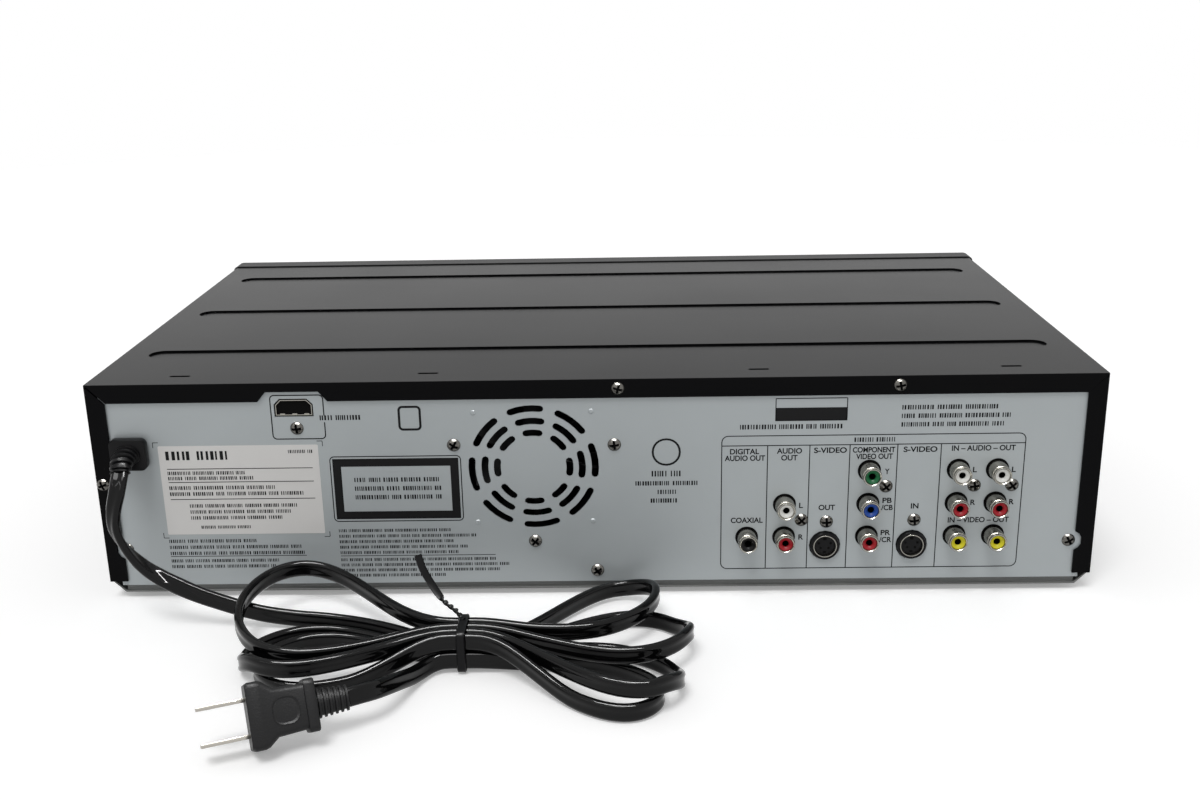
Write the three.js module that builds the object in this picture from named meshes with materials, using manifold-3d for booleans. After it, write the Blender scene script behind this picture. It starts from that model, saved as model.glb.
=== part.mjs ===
// A home video deck that plays discs and cassettes, seen most often from its connector side.
// Frame: +X to the right seen from the front, front faces -Y, connectors face +Y, +Z up, z = 0 is the shelf.
// All lengths are millimetres; angles are degrees.
import * as THREE from "three";
import { mergeVertices } from "three/addons/utils/BufferGeometryUtils.js";
import Module from "manifold-3d";

const wasm = await Module();
wasm.setup();

// Stock and clearances that every piece shares.
const gap = 0.3;
const overrun = 1;
const steel = 0.8;
const plastic = 2.4;
const board = 1.6;
const rootDepth = 0.6;

// The case: a steel body with a moulded front a little wider and taller than it.
const body = { width: 430, depth: 237.5, top: 98.9 };
const bezel = { overhang: 2.5, depth: 12, top: 99.5, bottom: 4.2, corner: 3 };
const jackReach = 8;
const rearY = (bezel.depth + body.depth + jackReach) / 2 - jackReach;
const frontY = rearY - body.depth;
const faceY = frontY - bezel.depth;
const wallBackY = faceY + plastic;
const halfBody = body.width / 2;
const behindFace = (reach) => faceY + reach;
const panelFaceY = rearY - steel - gap;
const panelBackY = panelFaceY - steel;
const backstopY = panelBackY - gap;

const cover = {
  sideBottom: 8.2, flangeSide: 7.9, flangeTop: 8.3, mitre: 0.5,
  beadWidth: 12, beadDepth: 0.8, beadInset: 12,
  slotLong: 9, slotWide: 2, slotInset: 12,
  notchHeight: 23.2, notchRadius: 4.6, notchInset: 1.6,
  socketNotchWide: 29.7, socketNotchNarrow: 22.5, socketNotchDepth: 4.3,
};
const beadShares = [0.2017, 0.5238, 0.853];
const slotShares = [0.3284, 0.8256];
const panel = { sideInset: 5, bottom: 6, topInset: 1.4 };
const pan = { bottom: 2.6, chamfer: 4.9, wallTop: 14, rearTop: 11.2 };
pan.half = halfBody - steel - gap;
const foot = { radius: 10, bevel: 0.8, sideInset: 43, endInset: 30 };
const floorZ = pan.bottom + steel;
const standZ = floorZ + gap;

// The two machines stand side by side; what is left of the width is shared out beside and between them.
const deck = { halfWidth: 100, rearY: 70, z: 20, plate: 1.2, leg: 4, legInset: 6, frontClear: 12 };
const drive = {
  halfWidth: 72, wall: 1.6, bottom: 44, top: 80.5, rearY: 56, frontInset: 0.9, floor: 1.2,
  leg: 4, legInset: 8, ledge: 10, ledgeThick: 1.5,
};
const spareWidth = body.width - 2 * (deck.halfWidth + drive.halfWidth);
const besideShares = { deck: 0.12791, drive: 0.43023 };
const deckX = besideShares.deck * spareWidth + deck.halfWidth - halfBody;
const driveX = halfBody - besideShares.drive * spareWidth - drive.halfWidth;

const door = {
  sideInset: 3, bottom: 58, height: 34, thick: 2.4, hingeBack: 3.55, hingeDrop: 1.6, barrel: 1.3, pin: 1.2,
  pinReach: 3, earWidth: 2.6, earDepth: 4.6, earHeight: 7, footGap: 0.6, recess: 0.3,
};
door.width = 2 * (deck.halfWidth - door.sideInset);
const lid = {
  width: 140, bottom: 64, height: 18, thick: 2.7, tongueWidth: 120, tongueBottom: 3, tongueHeight: 4,
};
const glass = { width: 130, height: 20, bottom: 30, thick: 1.8, cardInset: 5 };
const key = { width: 16, height: 8, face: 0.2, depth: 3.4, lip: 1, lipThick: 1, stem: 2, travel: 1.2 };
const keyRow = { powerInset: 25, start: 46, pitch: 24, z: 40, trayStart: 52, trayZ: 18 };
const keyNames = ["eject", "rewind", "play", "forward", "stop"];
const frontBoard = {
  sideInset: 15, y: 5.35, bottom: 8, top: 52, switchSize: 6, switchDepth: 1.5, displayDepth: 4.6,
};
const frontJack = { start: 46, z: 19, pitch: 14, height: 13, depth: 3.2 };

// Connector columns: the first lies in from the side, the others further in from it.
const jack = {
  sideInset: 43.2, inputStep: 16.6, svideoInStep: 34.8, componentStep: 54.4, svideoOutStep: 72.3,
  audioStep: 90.2, coaxialStep: 106.2, lowZ: 26.1, rise: 15.15, svideoZ: 21.95,
  shell: 4.15, insert: 3.3, bore: 1.7, step: 0.8,
  boreDepth: 8, hole: 4.6, collar: 6.3, collarHole: 6.7, collarReach: 0.6, socket: 4.5, socketDepth: 4,
  halfHousing: 7.4, housingDepth: 14, headroom: 7.5,
};
const columnX = (step) => jack.sideInset + step - halfBody;
const fan = {
  side: 26, z: 59.5, size: 60, depth: 15, bore: 28.6, strut: 3, motor: 13, motorThick: 2,
  hub: 12, hubDepth: 11, tip: 27,
  bladeChord: 11, bladeThick: 1.3, slotWidth: 3, bumpSpacing: 50, bump: 1.6, bumpTip: 0.8, bumpHeight: 0.4,
};
const grilleRings = [
  { radiusShare: 0.52, spanDegrees: 21, turnDegrees: 0 },
  { radiusShare: 0.697, spanDegrees: 27, turnDegrees: 3 },
  { radiusShare: 0.883, spanDegrees: 28, turnDegrees: 6.5 },
];
const socket = {
  sideInset: 88, z: 87.6, width: 15.5, height: 6.8, chamfer: 2.2, depth: 12, wall: 0.6, hollow: 8,
  tongueWidth: 10, tongueThick: 1.2, recess: 0.2, play: 0.6,
};
socket.x = halfBody - socket.sideInset;
const bushing = {
  sideInset: 16.3, z: 68.4, width: 15.6, height: 14, corner: 3, flange: 4.4, neckInset: 2,
  inner: 7, innerInset: 0.4,
};
bushing.x = halfBody - bushing.sideInset;

// Circuit boards in the rear half, from the sides in.
const powerBoard = { sideInset: 9, width: 98, frontY: 60, z: 10 };
powerBoard.right = halfBody - powerBoard.sideInset;
powerBoard.left = powerBoard.right - powerBoard.width;
const mainBoard = { sideInset: 10, between: 8, frontY: 74, z: 10, standoff: 3, footInset: 10, footEnd: 5 };
mainBoard.left = mainBoard.sideInset - halfBody;
mainBoard.right = powerBoard.left - mainBoard.between;
const boardEndInset = 3.5;
const digitalBoard = { fanClear: 4, sideInset: 40, frontY: 62, tabWidth: 14, tabDrop: 11, tabThick: 1.2 };
digitalBoard.left = fan.side + fan.size / 2 + digitalBoard.fanClear;
digitalBoard.right = halfBody - digitalBoard.sideInset;
const partsShares = { transformer: [0.43, 0.5], capacitor: [0.79, 0.3], sink: [0.22, 0.85] };
const transformer = { width: 34, depth: 26, height: 30 };
const capacitor = { radius: 11, height: 32 };
const sink = { width: 40, depth: 3, height: 34 };
const tuner = { width: 46, depth: 22, height: 14 };
const tunerShares = [0.75, 0.45];
const chip = { size: 20, height: 2.4 };
const chipShares = [0.35, 0.4];

// Cassette machine, in its own group at deckX.
deck.frontY = frontY + gap + steel + deck.frontClear;
deck.top = deck.z + deck.plate;
const seatZ = deck.top + gap;
const rail = { thick: 1.2, top: 93, endY: 10, strap: 20, side: 0.4 };
const shuttle = { thick: 1.2, bottom: 34, tall: 56, front: 39.75, depth: 64, strap: 20 };
const holder = { thick: 1.2, bottom: 58.8, top: 87.6, depth: 70, ledge: 12, play: 0.4 };
const drum = {
  y: 40, radius: 31, footWidth: 60, footDepth: 44, foot: 6, lower: 14, upper: 15, boss: 9, bossHeight: 4,
};
const reel = { x: 46.2, front: 80.75, radius: 15, base: 4, spindle: 5.5, tip: 2.75, height: 20 };
const capstan = {
  sideInset: 38, y: 12, shaft: 1.5, top: 50, flywheel: 22, flywheelBottom: 8, flywheelThick: 9,
};
capstan.x = deck.halfWidth - capstan.sideInset;
const clutch = { x: 0, front: 108.75, radius: 16, bottom: 9, thick: 7, shaft: 2 };
const belt = { thick: 1.2, width: 3, z: 11 };
const pinch = {
  sideInset: 16, pivotY: 8, reach: 20, arm: 3, armZ: 29, armWidth: 7, post: 2, boss: 4, roller: 8,
  rollerHeight: 12, contact: 0.3,
};
pinch.pivotX = deck.halfWidth - pinch.sideInset;
const carrier = {
  x: 30, front: 120.75, travelX: 12, travelY: 38, width: 13, depth: 9, height: 4, roller: 3, top: 46,
  flange: 4.4, flangeThick: 1.5,
};
const controlHead = { x: 57, y: 27, width: 10, depth: 7, height: 22 };
const eraseHead = { x: -60, y: 8, width: 7, depth: 7, height: 20 };

// Disc drive, in its own group at driveX.
drive.frontY = frontY + drive.frontInset;
const tray = {
  halfWidth: 68.5, thick: 6.5, bottom: 67, setback: 4.6, depth: 140, recess: 61, recessDepth: 2.6, slot: 22,
};
tray.frontY = faceY + gap + lid.thick + tray.setback;
const disc = { front: 80.75 };
const gear = { side: 40, front: 23.75, module: 1.5, thick: 6.7, shaft: 3, rackBelow: 2.4, rackWidth: 5 };
const toothShares = { thick: 0.38, addendum: 0.8, dedendum: 1.05, flank: 0.364 };
const sled = {
  halfWidth: 30, front: 62.75, rearY: 36, bottom: 48, thick: 6, pivotY: 34, pin: 2.2, pinReach: 7.5,
  windowHalf: 17, windowFront: 97.75, windowRear: 26, play: 4, ear: 4, earHalf: 5, earTop: 56,
  motor: 12, motorHeight: 2.5,
};
const rod = { x: 22, z: 57, radius: 1.5, front: 96.75, post: 4, rearY: 36, endHalf: 2.6 };
const pickup = {
  half: 17.6, bottom: 54.6, top: 64.4, front: 98.75, depth: 23, earReach: 26, earBottom: 54.7, earTop: 59.4,
  lens: 4, lensHeight: 1.4, bore: 1.9,
};
const turntable = {
  pillar: 9, plate: 14, hub: 7.2, plateTop: 72.2, plateThick: 2.4, hubTop: 74.4, hubTip: 5.5,
};
const clamp = {
  front: 58.75, bridgeDepth: 44, bridge: 1.6, neck: 12.4, hole: 13.2, lower: 17, lowerThick: 2.6, lift: 0.6,
  upper: 16, upperThick: 1.6,
};

// The mains cord: a flat twin flex, tied in a hank behind the unit.
const flex = { width: 7.2, thick: 3.5 };
const hank = {
  x: 51.5, y: 182, column: 4.4, layer: 7.95, ground: 3.75, waist: 5.2, straight: 4, near: 17,
};
const liftShare = 0.35;
const quarterShares = [0, 0.25, 0.5, 0.75];
const boot = { startWidth: 11, startThick: 8.5, endWidth: 9, endThick: 5.4, ribDepth: 0.9 };
// The sleeve's middle line, from the bushing's flange on: sideways, out and up.
const bootPoints = [[0, 0.25, 0.2], [0, 4.95, 0], [-0.2, 8.35, -1.2], [-0.4, 10.75, -3.3]];
const leadPoints = [
  [198.28, 135.2, 64.75], [198.24, 137.5, 62.6], [198.8, 140.4, 57.6], [200.2, 142.6, 50.5],
  [200.2, 144, 42.8], [196, 145.4, 35], [187, 147.4, 26.2], [171.4, 148.6, 17.3],
  [155.5, 149, 11], [141.3, 149.2, 6.6], [126.9, 149.6, 4.3], [112, 151.6, 3.8],
  [96, 156.2, 3.8], [82, 163, 4.1], [71, 170.4, 4.8], [63, 174.7, 5.2],
  [55.8, 175.4, 5.2],
];
const tailPoints = [
  [55.8, 188.6, 5.2], [59.8, 189, 5], [63.4, 191, 4.5], [66.4, 195, 4.3],
  [69.2, 200.8, 5.2], [72.2, 208.4, 7.6], [75.4, 216.8, 10.4], [79, 223.6, 12.4],
  [83.4, 227.9, 13.3], [87.5, 230.3, 13.3],
];
// Each lobe: which side of the tie, its reach, how far its tip lies from the tie's line, its breadth, the
// columns and layers it joins, where along it the layer changes, and how far its first half stands up.
const lobes = [
  { side: -1, reach: 73, swing: -30, breadth: -42, from: [0, 0], to: [0, 1], turnShares: [0.28, 0.52], raise: 0.8 },
  { side: 1, reach: 90, swing: -19, breadth: -58, from: [0, 1], to: [1, 1], turnShares: [0.3, 0.7], raise: 3.4 },
  { side: -1, reach: 86, swing: -6, breadth: 41, from: [1, 1], to: [1, 0], turnShares: [0.42, 0.64], raise: 0 },
  { side: 1, reach: 83, swing: 3, breadth: -37, from: [1, 0], to: [2, 1], turnShares: [0.49, 0.66], raise: 0 },
  { side: -1, reach: 81, swing: 22, breadth: 36.5, from: [2, 1], to: [2, 0], turnShares: [0.36, 0.58], raise: 0 },
  { side: 1, reach: 76, swing: 3, breadth: -33, from: [2, 0], to: [3, 1], turnShares: [0.83, 0.99], raise: 0 },
  { side: -1, reach: 73, swing: 25, breadth: 28.5, from: [3, 1], to: [3, 0], turnShares: [0.03, 0.2], raise: 0 },
];
const twistTie = {
  width: 3.6, thick: 1.1, wire: 2.4, wireThick: 1.6, inset: 3, tailX: 19.5, tailY: 18, tailRise: 19.9,
};
const tieShares = [
  [0, 0, 0], [0.154, 0.222, 0.08], [0.436, 0.47, 0.2], [0.718, 0.73, 0.48], [0.9, 0.87, 0.76], [1, 1, 1],
];
const plug = {
  relief: 11.5, reliefWidth: 9.5, reliefThick: 6.6, ribDepth: 0.9,
  flange: 4, flangeWidth: 19, flangeThick: 14, handle: 20, handleWidth: 17, handleThick: 12,
  front: 7, frontWidth: 24, frontThick: 14,
  blade: 17, bladeWidth: 6.3, bladeThick: 1.5, bladeSpacing: 12.7, corner: 2,
};

// Angles, counts and roundness.
const degree = Math.PI / 180;
const angles = { drumTilt: 5.9, pinchSwing: 35, fanBlade: 38, plugTurn: 23, plugLean: 30 };
const sides = { small: 10, middle: 16, large: 28 };
const counts = { fanBlades: 7, grilleSlots: 8, gearTeeth: 12, bootRibs: 5, plugRibs: 6, ringsPerRib: 4 };
const cordRings = { lobe: 20, lead: 44, tail: 16, tie: 12 };
const arcSteps = 2;

// Finishes.
const finish = (color, roughness, metalness = 0) =>
  new THREE.MeshStandardMaterial({ color, roughness, metalness });
const blackPaint = finish("#191a1b", 0.35, 0.3);
const greySteel = finish("#aab0b1", 0.5, 0.6);
const blackPlastic = finish("#1d1d1f", 0.45);
const smokedGlass = finish("#101418", 0.1);
const rubber = finish("#1a1a1a", 0.8);
const zincPlate = finish("#b9bcbd", 0.35, 0.9);
const brightSteel = finish("#c9cccd", 0.2, 1);
const castAlloy = finish("#9fa3a5", 0.4, 0.9);
const whitePlastic = finish("#d9d8d2", 0.5);
const greenBoard = finish("#1f5a34", 0.5);
const nickel = finish("#c3bfb4", 0.25, 1);
const glossCord = finish("#0d0d0e", 0.25);

// Solids: three.js geometry goes in, and joined or cut geometry comes out.
function solidOf(geometry) {
  const loose = geometry.index ? geometry.toNonIndexed() : geometry.clone();
  loose.deleteAttribute("normal");
  loose.deleteAttribute("uv");
  const merged = mergeVertices(loose);
  const corners = merged.index.array;
  const kept = [];
  for (let i = 0; i < corners.length; i += 3) {
    const [a, b, c] = [corners[i], corners[i + 1], corners[i + 2]];
    if (a !== b && b !== c && c !== a) kept.push(a, b, c);
  }
  const places = merged.attributes.position.array;
  const make = (order) => {
    const mesh = new wasm.Mesh({ numProp: 3, vertProperties: places, triVerts: new Uint32Array(order) });
    return new wasm.Manifold(mesh);
  };
  const made = make(kept);
  return made.volume() < 0 ? make(kept.reverse()) : made;
}

function geometryOf(solid) {
  const { vertProperties, triVerts } = solid.getMesh();
  const indexed = new THREE.BufferGeometry();
  indexed.setAttribute("position", new THREE.BufferAttribute(Float32Array.from(vertProperties), 3));
  indexed.setIndex(new THREE.BufferAttribute(Uint32Array.from(triVerts), 1));
  const geometry = indexed.toNonIndexed();
  geometry.computeVertexNormals();
  return geometry;
}

const join = (first, ...rest) => rest.reduce((sum, next) => sum.add(next), first);
const cut = (first, ...rest) => rest.reduce((left, next) => left.subtract(next), first);
const across = (centre, width) => [centre - width / 2, centre + width / 2];
const upFrom = (start, length) => [start, start + length];

function box([x0, x1], [y0, y1], [z0, z1]) {
  const geometry = new THREE.BoxGeometry(x1 - x0, y1 - y0, z1 - z0);
  return solidOf(geometry.translate((x0 + x1) / 2, (y0 + y1) / 2, (z0 + z1) / 2));
}

// A round bar along an axis; at holds its place across that axis, in the order x, y, z.
function bar(axis, at, radius, [start, end], count = sides.middle, endRadius = radius) {
  const geometry = new THREE.CylinderGeometry(endRadius, radius, end - start, count);
  geometry.translate(0, (start + end) / 2, 0);
  if (axis === "z") geometry.rotateX(Math.PI / 2).translate(at[0], at[1], 0);
  if (axis === "y") geometry.translate(at[0], 0, at[1]);
  if (axis === "x") geometry.rotateZ(-Math.PI / 2).translate(0, at[0], at[1]);
  return solidOf(geometry);
}

// A cutter whose flats, not its corners, lie at the radius.
const drill = (axis, at, radius, range, count = sides.middle) =>
  bar(axis, at, radius / Math.cos(Math.PI / count), range, count);

const flatShape = (outline) => new THREE.Shape(outline.map(([u, v]) => new THREE.Vector2(u, v)));

// A flat outline carried along an axis; the outline lies in the other two axes, in the order x, y, z.
function prism(axis, outline, [start, end]) {
  const shape = Array.isArray(outline) ? flatShape(outline) : outline;
  const settings = { depth: end - start, bevelEnabled: false, curveSegments: arcSteps };
  const geometry = new THREE.ExtrudeGeometry(shape, settings);
  if (axis === "z") geometry.translate(0, 0, start);
  if (axis === "y") geometry.rotateX(Math.PI / 2).translate(0, end, 0);
  if (axis === "x") {
    const turned = new THREE.Matrix4().makeBasis(
      new THREE.Vector3(0, 1, 0), new THREE.Vector3(0, 0, 1), new THREE.Vector3(1, 0, 0),
    );
    geometry.applyMatrix4(turned).translate(start, 0, 0);
  }
  return solidOf(geometry);
}

// A turned piece about +Z from its profile of radius and height.
function turned(profile, count = sides.large) {
  const points = profile.map(([radius, height]) => new THREE.Vector2(radius, height));
  return solidOf(new THREE.LatheGeometry(points, count).rotateX(Math.PI / 2));
}

function rounded([u0, u1], [v0, v1], radius) {
  const shape = new THREE.Shape();
  shape.absarc(u1 - radius, v1 - radius, radius, 0, Math.PI / 2);
  shape.absarc(u0 + radius, v1 - radius, radius, Math.PI / 2, Math.PI);
  shape.absarc(u0 + radius, v0 + radius, radius, Math.PI, Math.PI * 1.5);
  shape.absarc(u1 - radius, v0 + radius, radius, Math.PI * 1.5, Math.PI * 2);
  return shape;
}

const stadium = (us, vs) => rounded(us, vs, Math.min(us[1] - us[0], vs[1] - vs[0]) / 2);

// A curved slot with round ends, about a centre, from one angle to another.
function arcSlot([u, v], radius, width, start, end) {
  const half = width / 2;
  const at = (angle) => [u + radius * Math.cos(angle), v + radius * Math.sin(angle)];
  const shape = new THREE.Shape();
  shape.absarc(u, v, radius + half, start, end, false);
  shape.absarc(...at(end), half, end, end + Math.PI, false);
  shape.absarc(u, v, radius - half, end, start, true);
  shape.absarc(...at(start), half, start - Math.PI, start, false);
  return shape;
}

function piece(name, shape, material, at = [0, 0, 0]) {
  const mesh = new THREE.Mesh(shape.isBufferGeometry ? shape : geometryOf(shape), material);
  mesh.name = name;
  mesh.position.set(...at);
  return mesh;
}

function group(at, ...children) {
  const made = new THREE.Group();
  made.position.set(...at);
  made.add(...children.flat());
  return made;
}

// A path whose section keeps a chosen side up: rings at its own points, with a width direction at each.
class LaidPath extends THREE.Curve {
  constructor(points, widths) {
    super();
    this.points = points;
    this.widths = widths;
  }
  getSpacedPoints() {
    return this.points;
  }
  computeFrenetFrames() {
    const last = this.points.length - 1;
    const tangents = this.points.map((point, i) =>
      this.points[Math.min(i + 1, last)].clone().sub(this.points[Math.max(i - 1, 0)]).normalize(),
    );
    const normals = tangents.map((tangent, i) =>
      this.widths[i].clone().addScaledVector(tangent, -tangent.dot(this.widths[i])).normalize(),
    );
    const binormals = tangents.map((tangent, i) => new THREE.Vector3().crossVectors(tangent, normals[i]));
    return { tangents, normals, binormals };
  }
}

function sweep(points, widths, section) {
  const path = new LaidPath(points, widths);
  return new THREE.ExtrudeGeometry(flatShape(section), { steps: points.length - 1, extrudePath: path });
}

// Tapered ribbed sleeve over a few chosen points.
function sleeve({ points, wide, start, end, ribs, ribDepth }) {
  const count = ribs * counts.ringsPerRib;
  const curve = new THREE.CatmullRomCurve3(points);
  const rings = Array.from({ length: count + 1 }, (unused, i) => curve.getPointAt(i / count));
  const { normals, binormals } = new LaidPath(rings, rings.map(() => wide)).computeFrenetFrames();
  const around = sides.small;
  const positions = [];
  rings.forEach((centre, i) => {
    const share = i / count;
    const ribbed = i % counts.ringsPerRib >= counts.ringsPerRib / 2 ? ribDepth : 0;
    const half = [0, 1].map((k) => (start[k] * (1 - share) + end[k] * share) / 2 - ribbed);
    for (let j = 0; j < around; j++) {
      const angle = (j / around) * 2 * Math.PI;
      const place = centre.clone().addScaledVector(normals[i], half[0] * Math.cos(angle));
      positions.push(place.addScaledVector(binormals[i], half[1] * Math.sin(angle)));
    }
  });
  const index = [];
  for (let i = 0; i < count; i++) {
    for (let j = 0; j < around; j++) {
      const [a, b] = [i * around + j, i * around + ((j + 1) % around)];
      index.push(a, b, b + around, a, b + around, a + around);
    }
  }
  const endRing = count * around;
  for (let j = 1; j < around - 1; j++) index.push(0, j + 1, j, endRing, endRing + j, endRing + j + 1);
  const geometry = new THREE.BufferGeometry().setFromPoints(positions);
  geometry.setIndex(index);
  return solidOf(geometry);
}

// The case.
const socketOutline = (grow) => {
  const [x0, x1] = across(socket.x, socket.width + 2 * grow);
  const [z0, z1] = across(socket.z, socket.height + 2 * grow);
  const bevel = socket.chamfer + grow / 2;
  return [[x0, z0], [x1, z0], [x1, z1 - bevel], [x1 - bevel, z1], [x0 + bevel, z1], [x0, z1 - bevel]];
};

function topCover() {
  const bottom = cover.sideBottom;
  const inside = halfBody - steel;
  const windowX = halfBody - cover.flangeSide;
  const windowTop = body.top - cover.flangeTop;
  const flangeCut = [rearY - steel - overrun, rearY + overrun];
  const topCut = [body.top - steel - overrun, body.top + overrun];
  let shell = cut(
    box([-halfBody, halfBody], [frontY, rearY], [bottom, body.top]),
    box([-inside, inside], [frontY - overrun, rearY - steel], [bottom - overrun, body.top - steel]),
    box([-windowX, windowX], flangeCut, [bottom - overrun, windowTop]),
  );
  for (const side of [-1, 1]) {
    const half = cover.mitre / 2;
    const outer = [side * inside, body.top - steel];
    const inner = [side * (windowX - overrun), windowTop - overrun];
    shell = cut(
      shell,
      prism("y", [
        [inner[0] - half, inner[1] + half], [inner[0] + half, inner[1] - half],
        [outer[0] + half * side, outer[1] - half], [outer[0] - half, outer[1]],
      ], flangeCut),
      drill("y", [side * (windowX - cover.notchInset), cover.notchHeight], cover.notchRadius, flangeCut),
    );
  }
  const [wide, narrow] = [cover.socketNotchWide / 2, cover.socketNotchNarrow / 2];
  const notchTop = windowTop + cover.socketNotchDepth;
  const socketNotch = [
    [socket.x - wide, windowTop - overrun], [socket.x + wide, windowTop - overrun],
    [socket.x + wide, windowTop], [socket.x + narrow, notchTop],
    [socket.x - narrow, notchTop], [socket.x - wide, windowTop],
  ];
  shell = cut(shell, prism("y", socketNotch, flangeCut));
  for (const share of beadShares) {
    const beadY = rearY - share * body.depth;
    const halfLength = halfBody - cover.beadInset;
    const tubX = [-halfLength - steel, halfLength + steel];
    const tub = stadium(tubX, across(beadY, cover.beadWidth + 2 * steel));
    const hollow = stadium([-halfLength, halfLength], across(beadY, cover.beadWidth));
    shell = join(shell, prism("z", tub, [body.top - cover.beadDepth - steel, body.top - steel / 2]));
    shell = cut(shell, prism("z", hollow, [body.top - cover.beadDepth, body.top + overrun]));
  }
  for (const share of slotShares) {
    for (const side of [-1, 1]) {
      const slotX = across(side * share * halfBody, cover.slotLong);
      const slotY = across(rearY - cover.slotInset, cover.slotWide);
      shell = cut(shell, prism("z", stadium(slotX, slotY), topCut));
    }
  }
  return piece("top_cover", shell, blackPaint);
}

const columns = {
  output: { x: columnX(0), rows: 3 },
  input: { x: columnX(jack.inputStep), rows: 3 },
  svideoIn: { x: columnX(jack.svideoInStep), rows: 0 },
  component: { x: columnX(jack.componentStep), rows: 3 },
  svideoOut: { x: columnX(jack.svideoOutStep), rows: 0 },
  audio: { x: columnX(jack.audioStep), rows: 2 },
  coaxial: { x: columnX(jack.coaxialStep), rows: 1 },
};
const rowZ = (row) => jack.lowZ + row * jack.rise;
const rcaPlaces = Object.values(columns).flatMap(({ x, rows }) =>
  Array.from({ length: rows }, (unused, row) => [x, rowZ(row)]),
);
const svideoPlaces = [columns.svideoOut, columns.svideoIn].map(({ x }) => [x, jack.svideoZ]);

function rearPanel() {
  const half = halfBody - panel.sideInset;
  const through = [panelBackY - overrun, panelFaceY + overrun];
  let plate = box([-half, half], [panelBackY, panelFaceY], [panel.bottom, body.top - panel.topInset]);
  for (const place of rcaPlaces) plate = cut(plate, drill("y", place, jack.hole, through, sides.small));
  for (const place of svideoPlaces) plate = cut(plate, drill("y", place, jack.collarHole, through));
  plate = cut(plate, prism("y", socketOutline(socket.play), through));
  const neck = bushing.width - 2 * bushing.neckInset + 2 * gap;
  const neckTall = bushing.height - 2 * bushing.neckInset + 2 * gap;
  const neckHole = rounded(across(bushing.x, neck), across(bushing.z, neckTall), bushing.corner);
  plate = cut(plate, prism("y", neckHole, through));
  for (const ring of grilleRings) {
    for (let i = 0; i < counts.grilleSlots; i++) {
      const middle = (i / counts.grilleSlots) * 2 * Math.PI - ring.turnDegrees * degree;
      const half = (ring.spanDegrees / 2) * degree;
      const slotRadius = ring.radiusShare * fan.size / 2;
      const slot = arcSlot([fan.side, fan.z], slotRadius, fan.slotWidth, middle - half, middle + half);
      plate = cut(plate, prism("y", slot, through));
    }
  }
  for (const [i, k] of [[-1, -1], [-1, 1], [1, -1], [1, 1]]) {
    const place = [fan.side + i * fan.bumpSpacing / 2, fan.z + k * fan.bumpSpacing / 2];
    const bumpY = [panelFaceY - steel / 2, panelFaceY + fan.bumpHeight];
    plate = join(plate, bar("y", place, fan.bump, bumpY, sides.small, fan.bumpTip));
  }
  return piece("rear_panel", plate, greySteel);
}

function bottomChassis() {
  const inner = steel * Math.tan(Math.PI / 8);
  const floorHalf = pan.half - pan.chamfer;
  const kneeZ = pan.bottom + pan.chamfer;
  const outerSide = [[pan.half, pan.wallTop], [pan.half, kneeZ], [floorHalf, pan.bottom]];
  const innerSide = [
    [floorHalf - inner, floorZ], [pan.half - steel, kneeZ + inner], [pan.half - steel, pan.wallTop],
  ];
  const mirror = (points) => points.map(([x, z]) => [-x, z]).reverse();
  const outline = [...outerSide, ...mirror(outerSide), ...mirror(innerSide), ...innerSide];
  const wall = [pan.bottom, pan.wallTop];
  const wallX = [-floorHalf + inner, floorHalf - inner];
  const shell = join(
    prism("y", outline, [frontY + gap, panelFaceY]),
    box(wallX, upFrom(frontY + gap, steel), wall),
    box(wallX, [backstopY - steel, backstopY], [pan.bottom, pan.rearTop]),
  );
  return piece("bottom_chassis", shell, greySteel);
}

function feet() {
  const top = pan.bottom - gap;
  const profile = [
    [0, 0], [foot.radius - foot.bevel, 0], [foot.radius, foot.bevel], [foot.radius, top], [0, top],
  ];
  const places = { front_left: [-1, -1], front_right: [1, -1], rear_left: [-1, 1], rear_right: [1, 1] };
  return Object.entries(places).map(([where, [x, y]]) => {
    const footY = y < 0 ? frontY + foot.endInset : rearY - foot.endInset;
    const footX = x * (halfBody - foot.sideInset);
    return piece(`foot_${where}`, turned(profile, sides.middle), rubber, [footX, footY, 0]);
  });
}

// The moulded front, its keys, window, door and board.
const doorAxis = { y: faceY + door.hingeBack, z: door.bottom + door.height - door.hingeDrop };
const keys = [
  { name: "power_button", x: keyRow.powerInset - halfBody, z: keyRow.z },
  ...keyNames.map((name, i) => {
    return { name: `${name}_button`, x: deckX - keyRow.start + i * keyRow.pitch, z: keyRow.z };
  }),
  { name: "open_close_button", x: driveX + keyRow.trayStart, z: keyRow.trayZ },
];
const frontBoardY = wallBackY + frontBoard.y;
const frontJackX = deckX - frontJack.start;
const frontJackPlaces = [-1, 0, 1].map((i) => [frontJackX + i * frontJack.pitch, frontJack.z]);

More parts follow.
